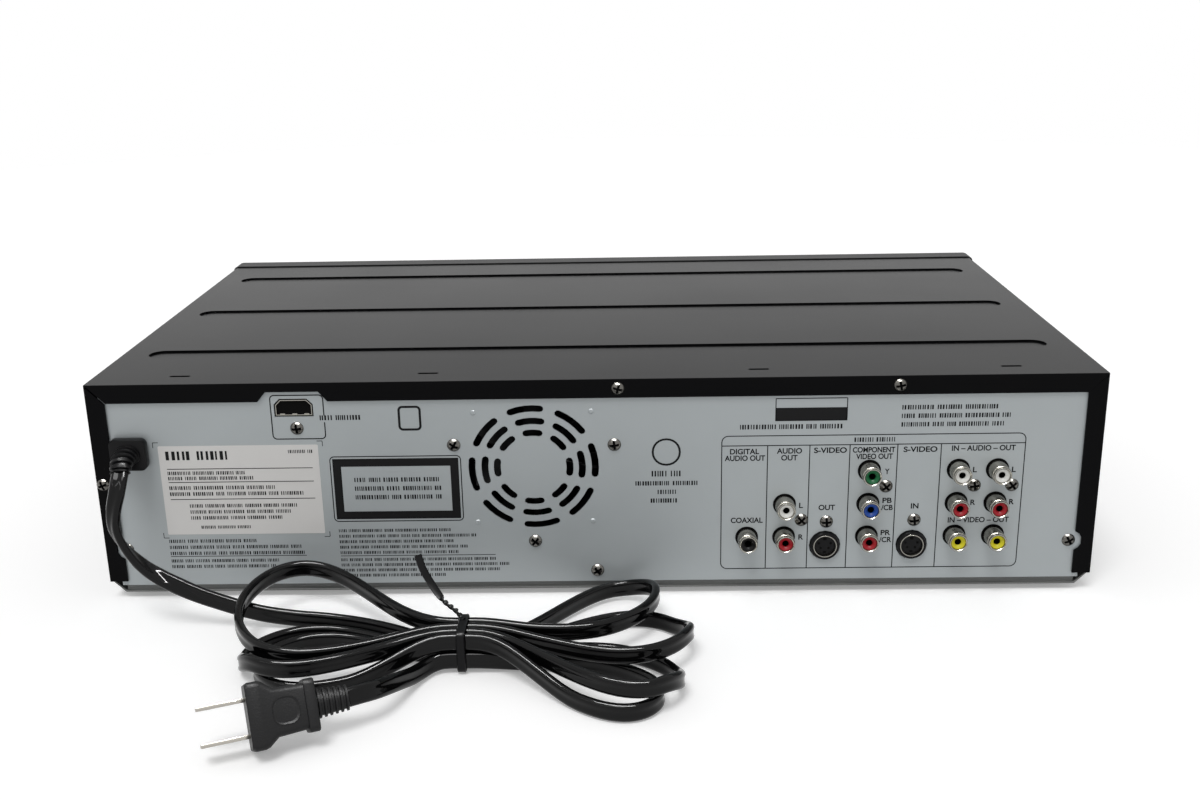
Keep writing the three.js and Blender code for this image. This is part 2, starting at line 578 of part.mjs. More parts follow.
function frontBezel() {
  const half = halfBody + bezel.overhang;
  const hollowZ = [bezel.bottom + plastic, bezel.top - plastic];
  const through = [faceY - overrun, wallBackY + overrun];
  let shell = cut(
    prism("y", rounded([-half, half], [bezel.bottom, bezel.top], bezel.corner), [faceY, frontY - gap]),
    box([plastic - half, half - plastic], [wallBackY, frontY + overrun], hollowZ),
  );
  for (const side of [-1, 1]) {
    const outer = deckX + side * (door.width / 2 + door.pinReach + gap);
    const inner = outer - side * door.earWidth;
    const ear = [Math.min(outer, inner), Math.max(outer, inner)];
    const earY = [wallBackY - rootDepth, wallBackY + door.earDepth];
    shell = join(shell, box(ear, earY, across(doorAxis.z, door.earHeight)));
  }
  const pinX = across(deckX, door.width + 2 * door.pinReach);
  shell = cut(
    shell,
    drill("x", [doorAxis.y, doorAxis.z], door.pin + gap, pinX, sides.small),
    box(across(deckX, door.width), through, upFrom(door.bottom, door.height)),
    box(across(driveX, lid.width), through, upFrom(lid.bottom, lid.height)),
    box(across(driveX, glass.width + 2 * gap), through, upFrom(glass.bottom - gap, glass.height + 2 * gap)),
  );
  for (const { x, z } of keys) {
    shell = cut(shell, box(across(x, key.width + 2 * gap), through, across(z, key.height + 2 * gap)));
  }
  for (const place of frontJackPlaces) {
    shell = cut(shell, drill("y", place, jack.hole, through, sides.small));
  }
  return piece("front_bezel", shell, blackPlastic);
}

function frontPieces() {
  const windowY = upFrom(faceY + key.face, glass.thick);
  const window = box(across(driveX, glass.width), windowY, upFrom(glass.bottom, glass.height));
  const keyMeshes = keys.map(({ name, x, z }) => {
    const cap = box(across(0, key.width), [0, key.depth], across(0, key.height));
    const lipOver = 2 * (key.lip + gap);
    const lipY = upFrom(wallBackY - faceY - key.face + gap, key.lipThick);
    const lip = box(across(0, key.width + lipOver), lipY, across(0, key.height + lipOver));
    const stemEnd = frontBoardY - frontBoard.switchDepth - gap - key.travel - faceY - key.face;
    const stem = bar("y", [0, 0], key.stem, [key.depth - rootDepth, stemEnd], sides.small);
    return piece(name, join(cap, lip, stem), blackPlastic, [x, faceY + key.face, z]);
  });
  const cardHalf = halfBody - frontBoard.sideInset;
  const switchY = [frontBoardY - frontBoard.switchDepth, frontBoardY + rootDepth];
  const displayY = [frontBoardY - frontBoard.displayDepth, frontBoardY + rootDepth];
  const displayZ = upFrom(glass.bottom + glass.cardInset / 2, glass.height - glass.cardInset);
  const card = join(
    box([-cardHalf, cardHalf], upFrom(frontBoardY, board), [frontBoard.bottom, frontBoard.top]),
    ...keys.map(({ x, z }) =>
      box(across(x, frontBoard.switchSize), switchY, across(z, frontBoard.switchSize)),
    ),
    box(across(driveX, glass.width - glass.cardInset), displayY, displayZ),
  );
  const socketsBack = frontBoardY - gap;
  const housingY = [socketsBack - frontJack.depth, socketsBack];
  const boreY = [faceY - overrun, frontBoardY - frontJack.depth];
  const housingX = across(frontJackX, frontJackPlaces.length * frontJack.pitch);
  let sockets = box(housingX, housingY, across(frontJack.z, frontJack.height));
  for (const place of frontJackPlaces) {
    sockets = join(sockets, bar("y", place, jack.shell, [faceY + key.face, socketsBack - rootDepth]));
    sockets = cut(sockets, bar("y", place, jack.bore, boreY, sides.small));
  }
  return [
    piece("display_window", window, smokedGlass),
    ...keyMeshes,
    piece("front_board", card, greenBoard),
    piece("front_av_jacks", sockets, nickel),
  ];
}

function cassetteDoor() {
  const top = door.hingeDrop - gap;
  const bottom = door.footGap + door.hingeDrop - door.height;
  const front = door.recess - door.hingeBack;
  const flap = box(across(0, door.width - 2 * gap), upFrom(front, door.thick), [bottom, top]);
  const barrel = bar("x", [0, 0], door.barrel, across(0, door.width - 2 * gap), sides.small);
  const pin = bar("x", [0, 0], door.pin, across(0, door.width + 2 * door.pinReach - 2 * gap), sides.small);
  return piece("cassette_door", join(flap, barrel, pin), blackPlastic, [deckX, doorAxis.y, doorAxis.z]);
}

// Cassette machine.
const railHalf = deck.halfWidth - rail.side;
const shuttleHalf = railHalf - rail.thick - holder.play;
const holderHalf = shuttleHalf - shuttle.thick - holder.play;

function cassetteLoader() {
  const plates = (half, thick, ys, zs) => [-1, 1].map((side) => {
    const [x0, x1] = [side * half, side * (half - thick)].sort((a, b) => a - b);
    return box([x0, x1], ys, zs);
  });
  const strapY = [rail.endY - rail.strap, rail.endY];
  const frame = join(
    ...plates(railHalf, rail.thick, [deck.frontY, rail.endY], [seatZ, rail.top]),
    box([-railHalf, railHalf], strapY, [rail.top - rail.thick, rail.top]),
  );
  const shuttleTop = shuttle.bottom + shuttle.tall;
  const shuttleY = upFrom(behindFace(shuttle.front), shuttle.depth);
  const shuttleStrap = across(behindFace(shuttle.front) + shuttle.depth / 2, shuttle.strap);
  const moving = join(
    ...plates(shuttleHalf, shuttle.thick, shuttleY, [shuttle.bottom, shuttleTop]),
    box([-shuttleHalf, shuttleHalf], shuttleStrap, [shuttleTop - shuttle.thick, shuttleTop]),
  );
  const cradleY = upFrom(behindFace(shuttle.front), holder.depth);
  const cradle = join(
    ...plates(holderHalf, holder.thick, cradleY, [holder.bottom, holder.top]),
    ...plates(holderHalf, holder.ledge, cradleY, upFrom(holder.bottom, holder.thick)),
    box([-holderHalf, holderHalf], cradleY, [holder.top - holder.thick, holder.top]),
  );
  return [
    piece("cassette_frame", frame, zincPlate),
    piece("cassette_carriage", moving, zincPlate),
    piece("cassette_holder", cradle, zincPlate),
  ];
}

const restAngle = (() => {
  const [dx, dy] = [capstan.x - pinch.pivotX, capstan.y - pinch.pivotY];
  const span = Math.hypot(dx, dy);
  const touching = pinch.roller + capstan.shaft + pinch.contact;
  const open = Math.acos((span ** 2 + pinch.reach ** 2 - touching ** 2) / (2 * span * pinch.reach));
  return Math.atan2(dy, dx) + open + angles.pinchSwing * degree;
})();

const reelY = behindFace(reel.front);
const carrierY = behindFace(carrier.front);
const clutchY = behindFace(clutch.front);

function tapeDeck() {
  const under = [standZ, deck.z + rootDepth];
  const through = [deck.z - overrun, deck.top + overrun];
  let plate = box([-deck.halfWidth, deck.halfWidth], [deck.frontY, deck.rearY], [deck.z, deck.top]);
  for (const side of [-1, 1]) {
    for (const legY of [deck.frontY + deck.legInset, deck.rearY - deck.legInset]) {
      const legX = side * (deck.halfWidth - deck.legInset);
      plate = join(plate, bar("z", [legX, legY], deck.leg, under, sides.small));
    }
    const guide = { x: side * (carrier.x + carrier.travelX / 2), y: carrierY + carrier.travelY / 2 };
    plate = cut(plate, box(across(guide.x, carrier.flange), across(guide.y, carrier.travelY), through));
  }
  const pivotTop = pinch.armZ + pinch.arm + overrun;
  plate = join(
    cut(plate, drill("z", [capstan.x, capstan.y], capstan.shaft + gap, through, sides.small)),
    bar("z", [pinch.pivotX, pinch.pivotY], pinch.post, [deck.z, pivotTop], sides.small),
    ...[-1, 1].map((side) =>
      bar("z", [side * reel.x, reelY], clutch.shaft, [deck.z, seatZ + reel.base], sides.small),
    ),
  );
  return piece("deck_plate", plate, zincPlate);
}

function headDrum() {
  const tiltGroup = new THREE.Group();
  const baseZ = seatZ + drum.foot;
  const tilted = new THREE.Matrix4().makeRotationX(-angles.drumTilt * degree).setPosition(0, drum.y, baseZ);
  const lowerTall = drum.lower + rootDepth;
  const lowerGeometry = new THREE.CylinderGeometry(drum.radius, drum.radius, lowerTall, sides.large)
    .rotateX(Math.PI / 2).translate(0, 0, (drum.lower - rootDepth) / 2).applyMatrix4(tilted);
  const skirtZ = [seatZ + drum.foot - rootDepth, baseZ + drum.foot];
  const skirt = bar("z", [0, drum.y], drum.radius - drum.foot, skirtZ);
  const base = join(
    box(across(0, drum.footWidth), across(drum.y, drum.footDepth), upFrom(seatZ, drum.foot)),
    skirt,
    solidOf(lowerGeometry),
  );
  const upper = turned([[0, 0], [drum.radius, 0], [drum.radius, drum.upper], [drum.boss, drum.upper],
    [drum.boss, drum.upper + drum.bossHeight], [0, drum.upper + drum.bossHeight]]);
  tiltGroup.position.set(0, drum.y, baseZ);
  tiltGroup.rotation.x = -angles.drumTilt * degree;
  tiltGroup.add(piece("head_drum", upper, brightSteel, [0, 0, drum.lower + gap]));
  return [piece("drum_base", base, castAlloy), tiltGroup];
}

function hollowTurned(profile, bore, range) {
  return cut(turned(profile, sides.middle), drill("z", [0, 0], bore, range, sides.small));
}

function tapeDrive() {
  const reelProfile = [[0, 0], [reel.radius, 0], [reel.radius, reel.base], [reel.spindle, reel.base + gap],
    [reel.spindle, reel.height - reel.base], [reel.tip, reel.height], [0, reel.height]];
  const reelShape = () => hollowTurned(reelProfile, clutch.shaft + gap, [-overrun, reel.base + 2 * gap]);
  const flywheelTop = capstan.flywheelBottom + capstan.flywheelThick;
  const capstanShape = join(
    bar("z", [0, 0], capstan.flywheel, [capstan.flywheelBottom, flywheelTop], sides.large),
    bar("z", [0, 0], capstan.shaft, [capstan.flywheelBottom, capstan.top], sides.small),
  );
  const pulley = join(
    bar("z", [0, 0], clutch.radius, upFrom(clutch.bottom, clutch.thick), sides.large),
    bar("z", [0, 0], clutch.shaft, [clutch.bottom, deck.z - gap], sides.small),
  );
  return [
    piece("supply_reel", reelShape(), whitePlastic, [-reel.x, reelY, seatZ]),
    piece("takeup_reel", reelShape(), whitePlastic, [reel.x, reelY, seatZ]),
    piece("capstan", capstanShape, brightSteel, [capstan.x, capstan.y, 0]),
    piece("clutch_pulley", pulley, whitePlastic, [clutch.x, clutchY, 0]),
    piece("drive_belt", driveBelt(), rubber),
  ];
}

// A flat belt round the flywheel and the pulley: two arcs joined by the outer tangents.
function driveBelt() {
  const wheels = [
    { x: capstan.x, y: capstan.y, radius: capstan.flywheel },
    { x: clutch.x, y: clutchY, radius: clutch.radius },
  ];
  const [a, b] = wheels;
  const line = Math.atan2(b.y - a.y, b.x - a.x);
  const span = Math.hypot(b.x - a.x, b.y - a.y);
  const outline = (grow) => {
    const lean = Math.acos((a.radius - b.radius) / span);
    const shape = new THREE.Shape();
    shape.absarc(a.x, a.y, a.radius + grow, line + lean, line - lean + 2 * Math.PI, false);
    shape.absarc(b.x, b.y, b.radius + grow, line - lean, line + lean, false);
    return shape;
  };
  const facets = sides.middle;
  const ring = (grow) => outline(grow).getPoints(facets).map((point) => [point.x, point.y]);
  const slack = gap + capstan.flywheel * (1 / Math.cos(Math.PI / facets / 2) - 1);
  const outer = prism("z", ring(slack + belt.thick), upFrom(belt.z, belt.width));
  const inner = prism("z", ring(slack), [belt.z - overrun, belt.z + belt.width + overrun]);
  return cut(outer, inner);
}

function tapePath() {
  const [armX, armY] = [pinch.reach * Math.cos(restAngle), pinch.reach * Math.sin(restAngle)];
  const armTop = pinch.armZ + pinch.arm;
  const beam = new THREE.BoxGeometry(pinch.reach, pinch.armWidth, pinch.arm)
    .translate(pinch.reach / 2, 0, pinch.armZ + pinch.arm / 2).rotateZ(restAngle);
  const arm = join(
    cut(
      join(solidOf(beam), bar("z", [0, 0], pinch.boss, [pinch.armZ - pinch.boss, armTop])),
      drill("z", [0, 0], pinch.post + gap, [seatZ, armTop + overrun], sides.small),
    ),
    bar("z", [armX, armY], pinch.post, [pinch.armZ, armTop + pinch.rollerHeight + overrun], sides.small),
  );
  const rollerShape = hollowTurned(
    [[0, 0], [pinch.roller, 0], [pinch.roller, pinch.rollerHeight], [0, pinch.rollerHeight]],
    pinch.post + gap, [-overrun, pinch.rollerHeight + overrun],
  );
  const carrierShape = () => join(
    box(across(0, carrier.width), across(0, carrier.depth), upFrom(seatZ, carrier.height)),
    bar("z", [0, 0], carrier.roller, [seatZ + carrier.height - rootDepth, carrier.top], sides.small),
    bar("z", [0, 0], carrier.flange, [carrier.top - carrier.flangeThick, carrier.top], sides.small),
  );
  const headShape = (head) =>
    box(across(head.x, head.width), across(head.y, head.depth), upFrom(seatZ, head.height));
  return [
    piece("pinch_arm", arm, zincPlate, [pinch.pivotX, pinch.pivotY, 0]),
    piece("pinch_roller", rollerShape, rubber, [pinch.pivotX + armX, pinch.pivotY + armY, armTop + gap]),
    piece("supply_guide", carrierShape(), blackPlastic, [-carrier.x, carrierY, 0]),
    piece("takeup_guide", carrierShape(), blackPlastic, [carrier.x, carrierY, 0]),
    piece("control_head", headShape(controlHead), brightSteel),
    piece("erase_head", headShape(eraseHead), brightSteel),
  ];
}

// Disc drive.
const discY = behindFace(disc.front);
const gearX = -gear.side;
const gearY = behindFace(gear.front);
const sledY = [behindFace(sled.front), sled.rearY];
const pitchRadius = gear.module * counts.gearTeeth / 2;
const toothPitch = gear.module * Math.PI;
const addendum = toothShares.addendum * gear.module;
const dedendum = toothShares.dedendum * gear.module;
const toothAt = (depthAbove) => toothShares.thick * toothPitch / 2 - depthAbove * toothShares.flank;

function driveChassis() {
  const inner = drive.halfWidth - drive.wall;
  const wallZ = [drive.bottom, drive.top];
  const ys = [drive.frontY, drive.rearY];
  const floorTop = drive.bottom + drive.floor;
  const open = sled.halfWidth + sled.play;
  const ledgeTop = tray.bottom - gap;
  const earY = across(sled.pivotY, 2 * sled.earHalf);
  let shell = box([-drive.halfWidth, drive.halfWidth], ys, [drive.bottom, floorTop]);
  for (const side of [-1, 1]) {
    const span = (outer, width) => [side * outer, side * (outer - width)].sort((a, b) => a - b);
    shell = join(
      shell,
      box(span(drive.halfWidth, drive.wall), ys, wallZ),
      box(span(inner + rootDepth, drive.ledge), ys, upFrom(ledgeTop - drive.ledgeThick, drive.ledgeThick)),
      box(span(open + sled.ear, sled.ear), earY, [drive.bottom, sled.earTop]),
    );
    for (const legY of [drive.frontY + drive.legInset, drive.rearY - drive.legInset]) {
      const legX = side * (drive.halfWidth - drive.legInset);
      shell = join(shell, bar("z", [legX, legY], drive.leg, [standZ, floorTop], sides.small));
    }
  }
  const wallY = [drive.rearY - drive.wall, drive.rearY];
  shell = join(shell, box([-drive.halfWidth, drive.halfWidth], wallY, wallZ));
  const pivotZ = sled.bottom + sled.thick / 2;
  const windowY = [sledY[0] - sled.play, sledY[1] + sled.play];
  const pinX = across(0, 2 * (open + sled.ear + overrun));
  shell = cut(
    shell,
    box([-open, open], windowY, [drive.bottom - overrun, floorTop + overrun]),
    drill("x", [sled.pivotY, pivotZ], sled.pin + gap, pinX, sides.small),
  );
  return piece("drive_chassis", shell, blackPlastic);
}

function discTray() {
  const rearEnd = tray.frontY + tray.depth;
  const top = tray.bottom + tray.thick;
  const above = [tray.bottom - overrun, top + overrun];
  let plate = box([-tray.halfWidth, tray.halfWidth], [tray.frontY, rearEnd], [tray.bottom, top]);
  plate = cut(
    plate,
    bar("z", [0, discY], tray.recess, [top - tray.recessDepth, top + overrun], sides.large),
    bar("z", [0, discY], tray.slot, above, sides.large),
    box([-tray.slot, tray.slot], [discY, rearEnd + overrun], above),
  );
  const pitchX = gearX - pitchRadius;
  const tip = pitchX + addendum;
  const root = pitchX - dedendum;
  const teeth = Math.floor((rearEnd - gearY) / toothPitch) - 1;
  const rackPoints = [];
  for (let i = 0; i <= teeth; i++) {
    const middle = gearY + (i + 0.5) * toothPitch;
    const [wide, thin] = [toothAt(-dedendum), toothAt(addendum)];
    rackPoints.push([root, middle - wide], [tip, middle - thin]);
    rackPoints.push([tip, middle + thin], [root, middle + wide]);
  }
  const rackBack = root - gear.rackWidth;
  const rackStart = gearY - toothPitch / 2;
  const rackEnd = gearY + (teeth + 1) * toothPitch;
  const outline = [
    [rackBack, rackStart], [root, rackStart], ...rackPoints, [root, rackEnd], [rackBack, rackEnd],
  ];
  plate = join(plate, prism("z", outline, [tray.bottom - gear.rackBelow, tray.bottom + rootDepth]));
  const lidFront = faceY + key.face;
  const lidBack = lidFront + lid.thick;
  const tongueY = [lidBack - rootDepth, tray.frontY - gap];
  const lidZ = [lid.bottom + gap, lid.bottom + lid.height - gap];
  const cap = join(
    box(across(0, lid.width - 2 * gap), [lidFront, lidBack], lidZ),
    box(across(0, lid.tongueWidth), tongueY, upFrom(lid.bottom + lid.tongueBottom, lid.tongueHeight)),
  );
  return [piece("disc_tray", plate, blackPlastic), piece("tray_lid", cap, blackPlastic)];
}

function trayGear() {
  const points = [];
  const [outer, root] = [pitchRadius + addendum, pitchRadius - dedendum];
  for (let i = 0; i < counts.gearTeeth; i++) {
    const middle = (i / counts.gearTeeth) * 2 * Math.PI + Math.PI;
    const [wide, thin] = [toothAt(-dedendum), toothAt(addendum)];
    for (const [radius, half] of [[root, -wide], [outer, -thin], [outer, thin], [root, wide]]) {
      const angle = middle + half / radius;
      points.push([radius * Math.cos(angle), radius * Math.sin(angle)]);
    }
  }
  const top = tray.bottom - gap;
  const floorTop = drive.bottom + drive.floor + gap;
  const wheel = join(
    prism("z", points, [top - gear.thick, top]),
    bar("z", [0, 0], gear.shaft, [floorTop, top - gear.thick + rootDepth], sides.small),
  );
  return piece("tray_gear", wheel, whitePlastic, [gearX, gearY, 0]);
}

function traverseUnit() {
  const pivotZ = sled.bottom + sled.thick / 2;
  const top = sled.bottom + sled.thick;
  const windowY = [behindFace(sled.windowFront), sled.windowRear];
  let frame = cut(
    box([-sled.halfWidth, sled.halfWidth], sledY, [sled.bottom, top]),
    box([-sled.windowHalf, sled.windowHalf], windowY, [sled.bottom - overrun, top + overrun]),
  );
  frame = join(
    frame,
    bar("x", [sled.pivotY, pivotZ], sled.pin, across(0, 2 * (sled.halfWidth + sled.pinReach)), sides.small),
    bar("z", [0, discY], sled.motor, [top - rootDepth, top + sled.motorHeight]),
  );
  const rodEnds = [behindFace(rod.front), rod.rearY];
  const rodY = rodEnds.map((end) => end - rod.post / 2);
  for (const side of [-1, 1]) {
    const postX = across(side * rod.x, 2 * rod.endHalf);
    frame = join(
      frame,
      bar("y", [side * rod.x, rod.z], rod.radius, rodY, sides.small),
      ...rodEnds.map((end) => box(postX, [end - rod.post, end], [top - rootDepth, rod.z + rod.endHalf])),
    );
  }
  const platform = turntable.plateTop - turntable.plateThick;
  const base = top + sled.motorHeight + gap;
  const table = turned([
    [0, base], [turntable.pillar, base], [turntable.pillar, platform], [turntable.plate, platform],
    [turntable.plate, turntable.plateTop], [turntable.hub, turntable.plateTop],
    [turntable.hubTip, turntable.hubTop], [0, turntable.hubTop],
  ]);
  const headY = upFrom(behindFace(pickup.front), pickup.depth);
  const lensY = headY[0] + pickup.depth / 2;
  let head = join(
    box([-pickup.half, pickup.half], headY, [pickup.bottom, pickup.top]),
    box([-pickup.earReach, pickup.earReach], headY, [pickup.earBottom, pickup.earTop]),
    bar("z", [0, lensY], pickup.lens, upFrom(pickup.top - rootDepth, pickup.lensHeight + rootDepth)),
  );
  const rodHole = [headY[0] - overrun, headY[1] + overrun];
  for (const side of [-1, 1]) {
    head = cut(head, drill("y", [side * rod.x, rod.z], pickup.bore, rodHole, sides.small));
  }
  return [
    piece("traverse", frame, blackPlastic),
    piece("turntable", table, whitePlastic, [0, discY, 0]),
    piece("pickup", head, castAlloy),
  ];
}

function discClamp() {
  const bridgeY = upFrom(behindFace(clamp.front), clamp.bridgeDepth);
  const bridgeZ = drive.top + gap;
  const bridgeTop = bridgeZ + clamp.bridge;
  const bridge = cut(
    box([-drive.halfWidth, drive.halfWidth], bridgeY, [bridgeZ, bridgeTop]),
    drill("z", [0, discY], clamp.hole, [bridgeZ - overrun, bridgeTop + overrun], sides.large),
  );
  const lowerZ = turntable.hubTop + clamp.lift;
  const upperZ = bridgeTop + gap;
  const puck = turned([
    [0, lowerZ], [clamp.lower, lowerZ], [clamp.lower, lowerZ + clamp.lowerThick],
    [clamp.neck, lowerZ + clamp.lowerThick], [clamp.neck, upperZ], [clamp.upper, upperZ],
    [clamp.upper, upperZ + clamp.upperThick], [0, upperZ + clamp.upperThick],
  ]);
  return [piece("clamp_bridge", bridge, zincPlate), piece("disc_clamp", puck, whitePlastic, [0, discY, 0])];
}

// Rear pieces.
function coolingFan() {
  const ys = [backstopY - fan.depth, backstopY];
  const centre = [fan.side, fan.z];
  let frame = cut(
    box(across(fan.side, fan.size), ys, across(fan.z, fan.size)),
    drill("y", centre, fan.bore, [ys[0] - overrun, ys[1] + overrun], sides.large),
  );
  const strutY = upFrom(ys[0], fan.motorThick);
  frame = join(
    frame,
    box(across(fan.side, fan.size - plastic), strutY, across(fan.z, fan.strut)),
    box(across(fan.side, fan.strut), strutY, across(fan.z, fan.size - plastic)),
    bar("y", centre, fan.motor, strutY),
  );
  const hubStart = ys[0] + fan.motorThick + gap;
  let rotor = bar("y", [0, 0], fan.hub, [0, fan.hubDepth]);
  for (let i = 0; i < counts.fanBlades; i++) {
    const reach = fan.tip - fan.hub + rootDepth;
    const blade = new THREE.BoxGeometry(fan.bladeChord, fan.bladeThick, reach)
      .rotateZ(angles.fanBlade * degree).translate(0, fan.hubDepth / 2, fan.tip - reach / 2)
      .rotateY((i / counts.fanBlades) * 2 * Math.PI);
    rotor = join(rotor, solidOf(blade));
  }
  return [
    piece("fan_frame", frame, blackPlastic),
    piece("fan_rotor", rotor, blackPlastic, [fan.side, hubStart, fan.z]),
  ];
}

function rcaShell(place, housingFace) {
  const tip = rearY + jackReach;
  return cut(
    bar("y", place, jack.shell, [housingFace - rootDepth, tip], sides.small),
    bar("y", place, jack.insert, [tip - jack.step, tip + overrun], sides.small),
    bar("y", place, jack.bore, [tip - jack.boreDepth, tip + overrun], sides.small),
  );
}

// One housing for its columns; a column of no rows holds the round video socket.
function jackBlock(name, ...held) {
  const ys = [backstopY - jack.housingDepth, backstopY];
  const boardTop = mainBoard.z + board + gap;
  const xs = held.map(({ x }) => x);
  const housingX = [Math.min(...xs) - jack.halfHousing, Math.max(...xs) + jack.halfHousing];
  const collarY = rearY + jack.collarReach;
  let block = box(housingX, ys, [boardTop, jack.lowZ + jack.headroom]);
  for (const { x, rows } of held) {
    if (rows === 0) {
      block = cut(
        join(block, bar("y", [x, jack.svideoZ], jack.collar, [backstopY - rootDepth, collarY])),
        bar("y", [x, jack.svideoZ], jack.socket, [collarY - jack.socketDepth, collarY + overrun]),
      );
      continue;
    }
    const columnZ = [boardTop, rowZ(rows - 1) + jack.headroom];
    block = join(block, box(across(x, 2 * jack.halfHousing), ys, columnZ));
    for (let row = 0; row < rows; row++) block = join(block, rcaShell([x, rowZ(row)], backstopY));
  }
  return piece(name, block, nickel);
}

function circuitBoards() {
  const rear = backstopY - boardEndInset;
  const make = (plan, parts) => {
    let card = box([plan.left, plan.right], [plan.frontY, rear], upFrom(plan.z, board));
    for (const x of [plan.left + mainBoard.footInset, plan.right - mainBoard.footInset]) {
      for (const y of [plan.frontY + mainBoard.footEnd, rear - mainBoard.footEnd]) {
        card = join(card, bar("z", [x, y], mainBoard.standoff, [standZ, plan.z + rootDepth], sides.small));
      }
    }
    return join(card, ...parts);
  };
  const at = (plan, [shareX, shareY]) => [
    plan.left + shareX * (plan.right - plan.left), plan.frontY + shareY * (rear - plan.frontY),
  ];
  const above = (plan, height) => upFrom(plan.z + board - rootDepth, rootDepth + height);
  const block = (plan, share, item) => {
    const [x, y] = at(plan, share);
    return box(across(x, item.width), across(y, item.depth), above(plan, item.height));
  };
  const capAt = at(powerBoard, partsShares.capacitor);
  const power = make(powerBoard, [
    block(powerBoard, partsShares.transformer, transformer),
    block(powerBoard, partsShares.sink, sink),
    bar("z", capAt, capacitor.radius, above(powerBoard, capacitor.height)),
  ]);
  const main = make(mainBoard, [block(mainBoard, tunerShares, tuner)]);
  const top = socket.z - socket.height / 2;
  const chipX = digitalBoard.left + chipShares[0] * (digitalBoard.right - digitalBoard.left);
  const chipY = digitalBoard.frontY + chipShares[1] * (rear - digitalBoard.frontY);
  const shell = cut(
    prism("y", socketOutline(0), [backstopY - socket.depth, panelFaceY - socket.recess]),
    prism("y", socketOutline(-socket.wall), [panelFaceY - socket.hollow, panelFaceY + overrun]),
  );
  const tabX = across(socket.x, digitalBoard.tabWidth);
  const cardZ = [top - board, top + rootDepth / 2];
  const tongueY = [panelFaceY - socket.hollow - rootDepth, panelFaceY - 2 * socket.recess];
  const digital = join(
    box([digitalBoard.left, digitalBoard.right], [digitalBoard.frontY, rear], cardZ),
    box(across(chipX, chip.size), across(chipY, chip.size), upFrom(top, chip.height)),
    box(tabX, [rear - rootDepth, backstopY], cardZ),
    box(tabX, [backstopY - digitalBoard.tabThick, backstopY], [top - board - digitalBoard.tabDrop, top]),
    shell,
    box(across(socket.x, socket.tongueWidth), tongueY, across(socket.z, socket.tongueThick)),
  );
  return [
    piece("main_board", main, greenBoard),
    piece("power_board", power, greenBoard),
    piece("digital_board", digital, greenBoard),
  ];
}

// The cord and what is on it.
const vector = ([x, y, z]) => new THREE.Vector3(x, y, z);
const upward = vector([0, 0, 1]);
const sideways = vector([1, 0, 0]);
const plugTurn = angles.plugTurn * degree;
const plugAxis = vector([Math.cos(plugTurn), Math.sin(plugTurn), 0]);
const plugWide = upward.clone().applyAxisAngle(plugAxis, angles.plugLean * degree);
const fineSection = [[1, 0.5], [0.5, 1], [-0.5, 1], [-1, 0.5], [-1, -0.5], [-0.5, -1], [0.5, -1], [1, -0.5]];
const coarseSection = [[1, 0], [0.5, 1], [-0.5, 1], [-1, 0], [-0.5, -1], [0.5, -1]];
const wireSection = [[1, 1], [-1, 1], [-1, -1], [1, -1]];
const scaled = (section, wide, thick) => section.map(([u, v]) => [u * wide / 2, v * thick / 2]);
const hankSection = scaled(coarseSection, flex.width, flex.thick);
const flexSection = scaled(fineSection, flex.width, flex.thick);
const ease = (value) => {
  const share = Math.min(Math.max(value, 0), 1);
  return share * share * (3 - 2 * share);
};

function cordBushing() {
  const flangeY = upFrom(panelFaceY + gap, bushing.flange);
  const root = vector([bushing.x, panelFaceY + bushing.flange, bushing.z]);
  const outline = (inset) => {
    const wide = across(bushing.x, bushing.width - 2 * inset);
    return rounded(wide, across(bushing.z, bushing.height - 2 * inset), bushing.corner);
  };
  const shape = join(
    prism("y", outline(0), flangeY),
    prism("y", outline(bushing.neckInset), [panelBackY - bushing.inner, flangeY[1]]),
    prism("y", outline(bushing.innerInset), [panelBackY - gap - bushing.inner, panelBackY - gap]),
    sleeve({
      points: bootPoints.map((point) => vector(point).add(root)),
      wide: sideways,
      start: [boot.startWidth, boot.startThick],
      end: [boot.endWidth, boot.endThick],
      ribs: counts.bootRibs,
      ribDepth: boot.ribDepth,
    }),
  );
  return piece("cord_bushing", shape, blackPlastic);
}

// A run of the flex between two pieces; its wide side turns from one direction to the other.
function stretch(name, points, startWide, endWide, rings) {
  const curve = new THREE.CatmullRomCurve3(points.map(vector));
  const laid = Array.from({ length: rings + 1 }, (unused, i) => curve.getPointAt(i / rings));
  const widths = laid.map((unused, i) => startWide.clone().lerp(endWide, ease(i / rings)));
  return piece(name, sweep(laid, widths, flexSection), glossCord);
}

const middleColumn = 1.5;
const columnY = (column) => hank.y + (column - middleColumn) * hank.column;

// The hank's middle line: lobes to either side of the tie, with a straight run through it at both ends.
function hankPoints() {
  const endAt = (column) => new THREE.Vector3(hank.x + hank.straight, columnY(column), hank.waist);
  const points = [endAt(lobes[0].from[0])];
  for (const lobe of lobes) {
    const [fromY, toY] = [columnY(lobe.from[0]), columnY(lobe.to[0])];
    const [turnStart, turnEnd] = lobe.turnShares;
    for (let i = 0; i <= cordRings.lobe; i++) {
      const share = i / cordRings.lobe;
      const [s, c] = [Math.sin(share * Math.PI), Math.cos(share * Math.PI)];
      const changed = ease((share - turnStart) / (turnEnd - turnStart));
      const layer = lobe.from[1] + (lobe.to[1] - lobe.from[1]) * changed;
      const lowered = (hank.waist - hank.ground) * ease(s / liftShare);
      points.push(new THREE.Vector3(
        hank.x + lobe.side * (hank.straight + lobe.reach * s),
        fromY + (toY - fromY) * ease(share) + (lobe.swing + lobe.breadth * c) * ease(s),
        hank.waist - lowered + layer * hank.layer + lobe.raise * s ** 2 * (1 + c) ** 2,
      ));
    }
  }
  points.push(endAt(lobes.at(-1).to[0]));
  return points;
}

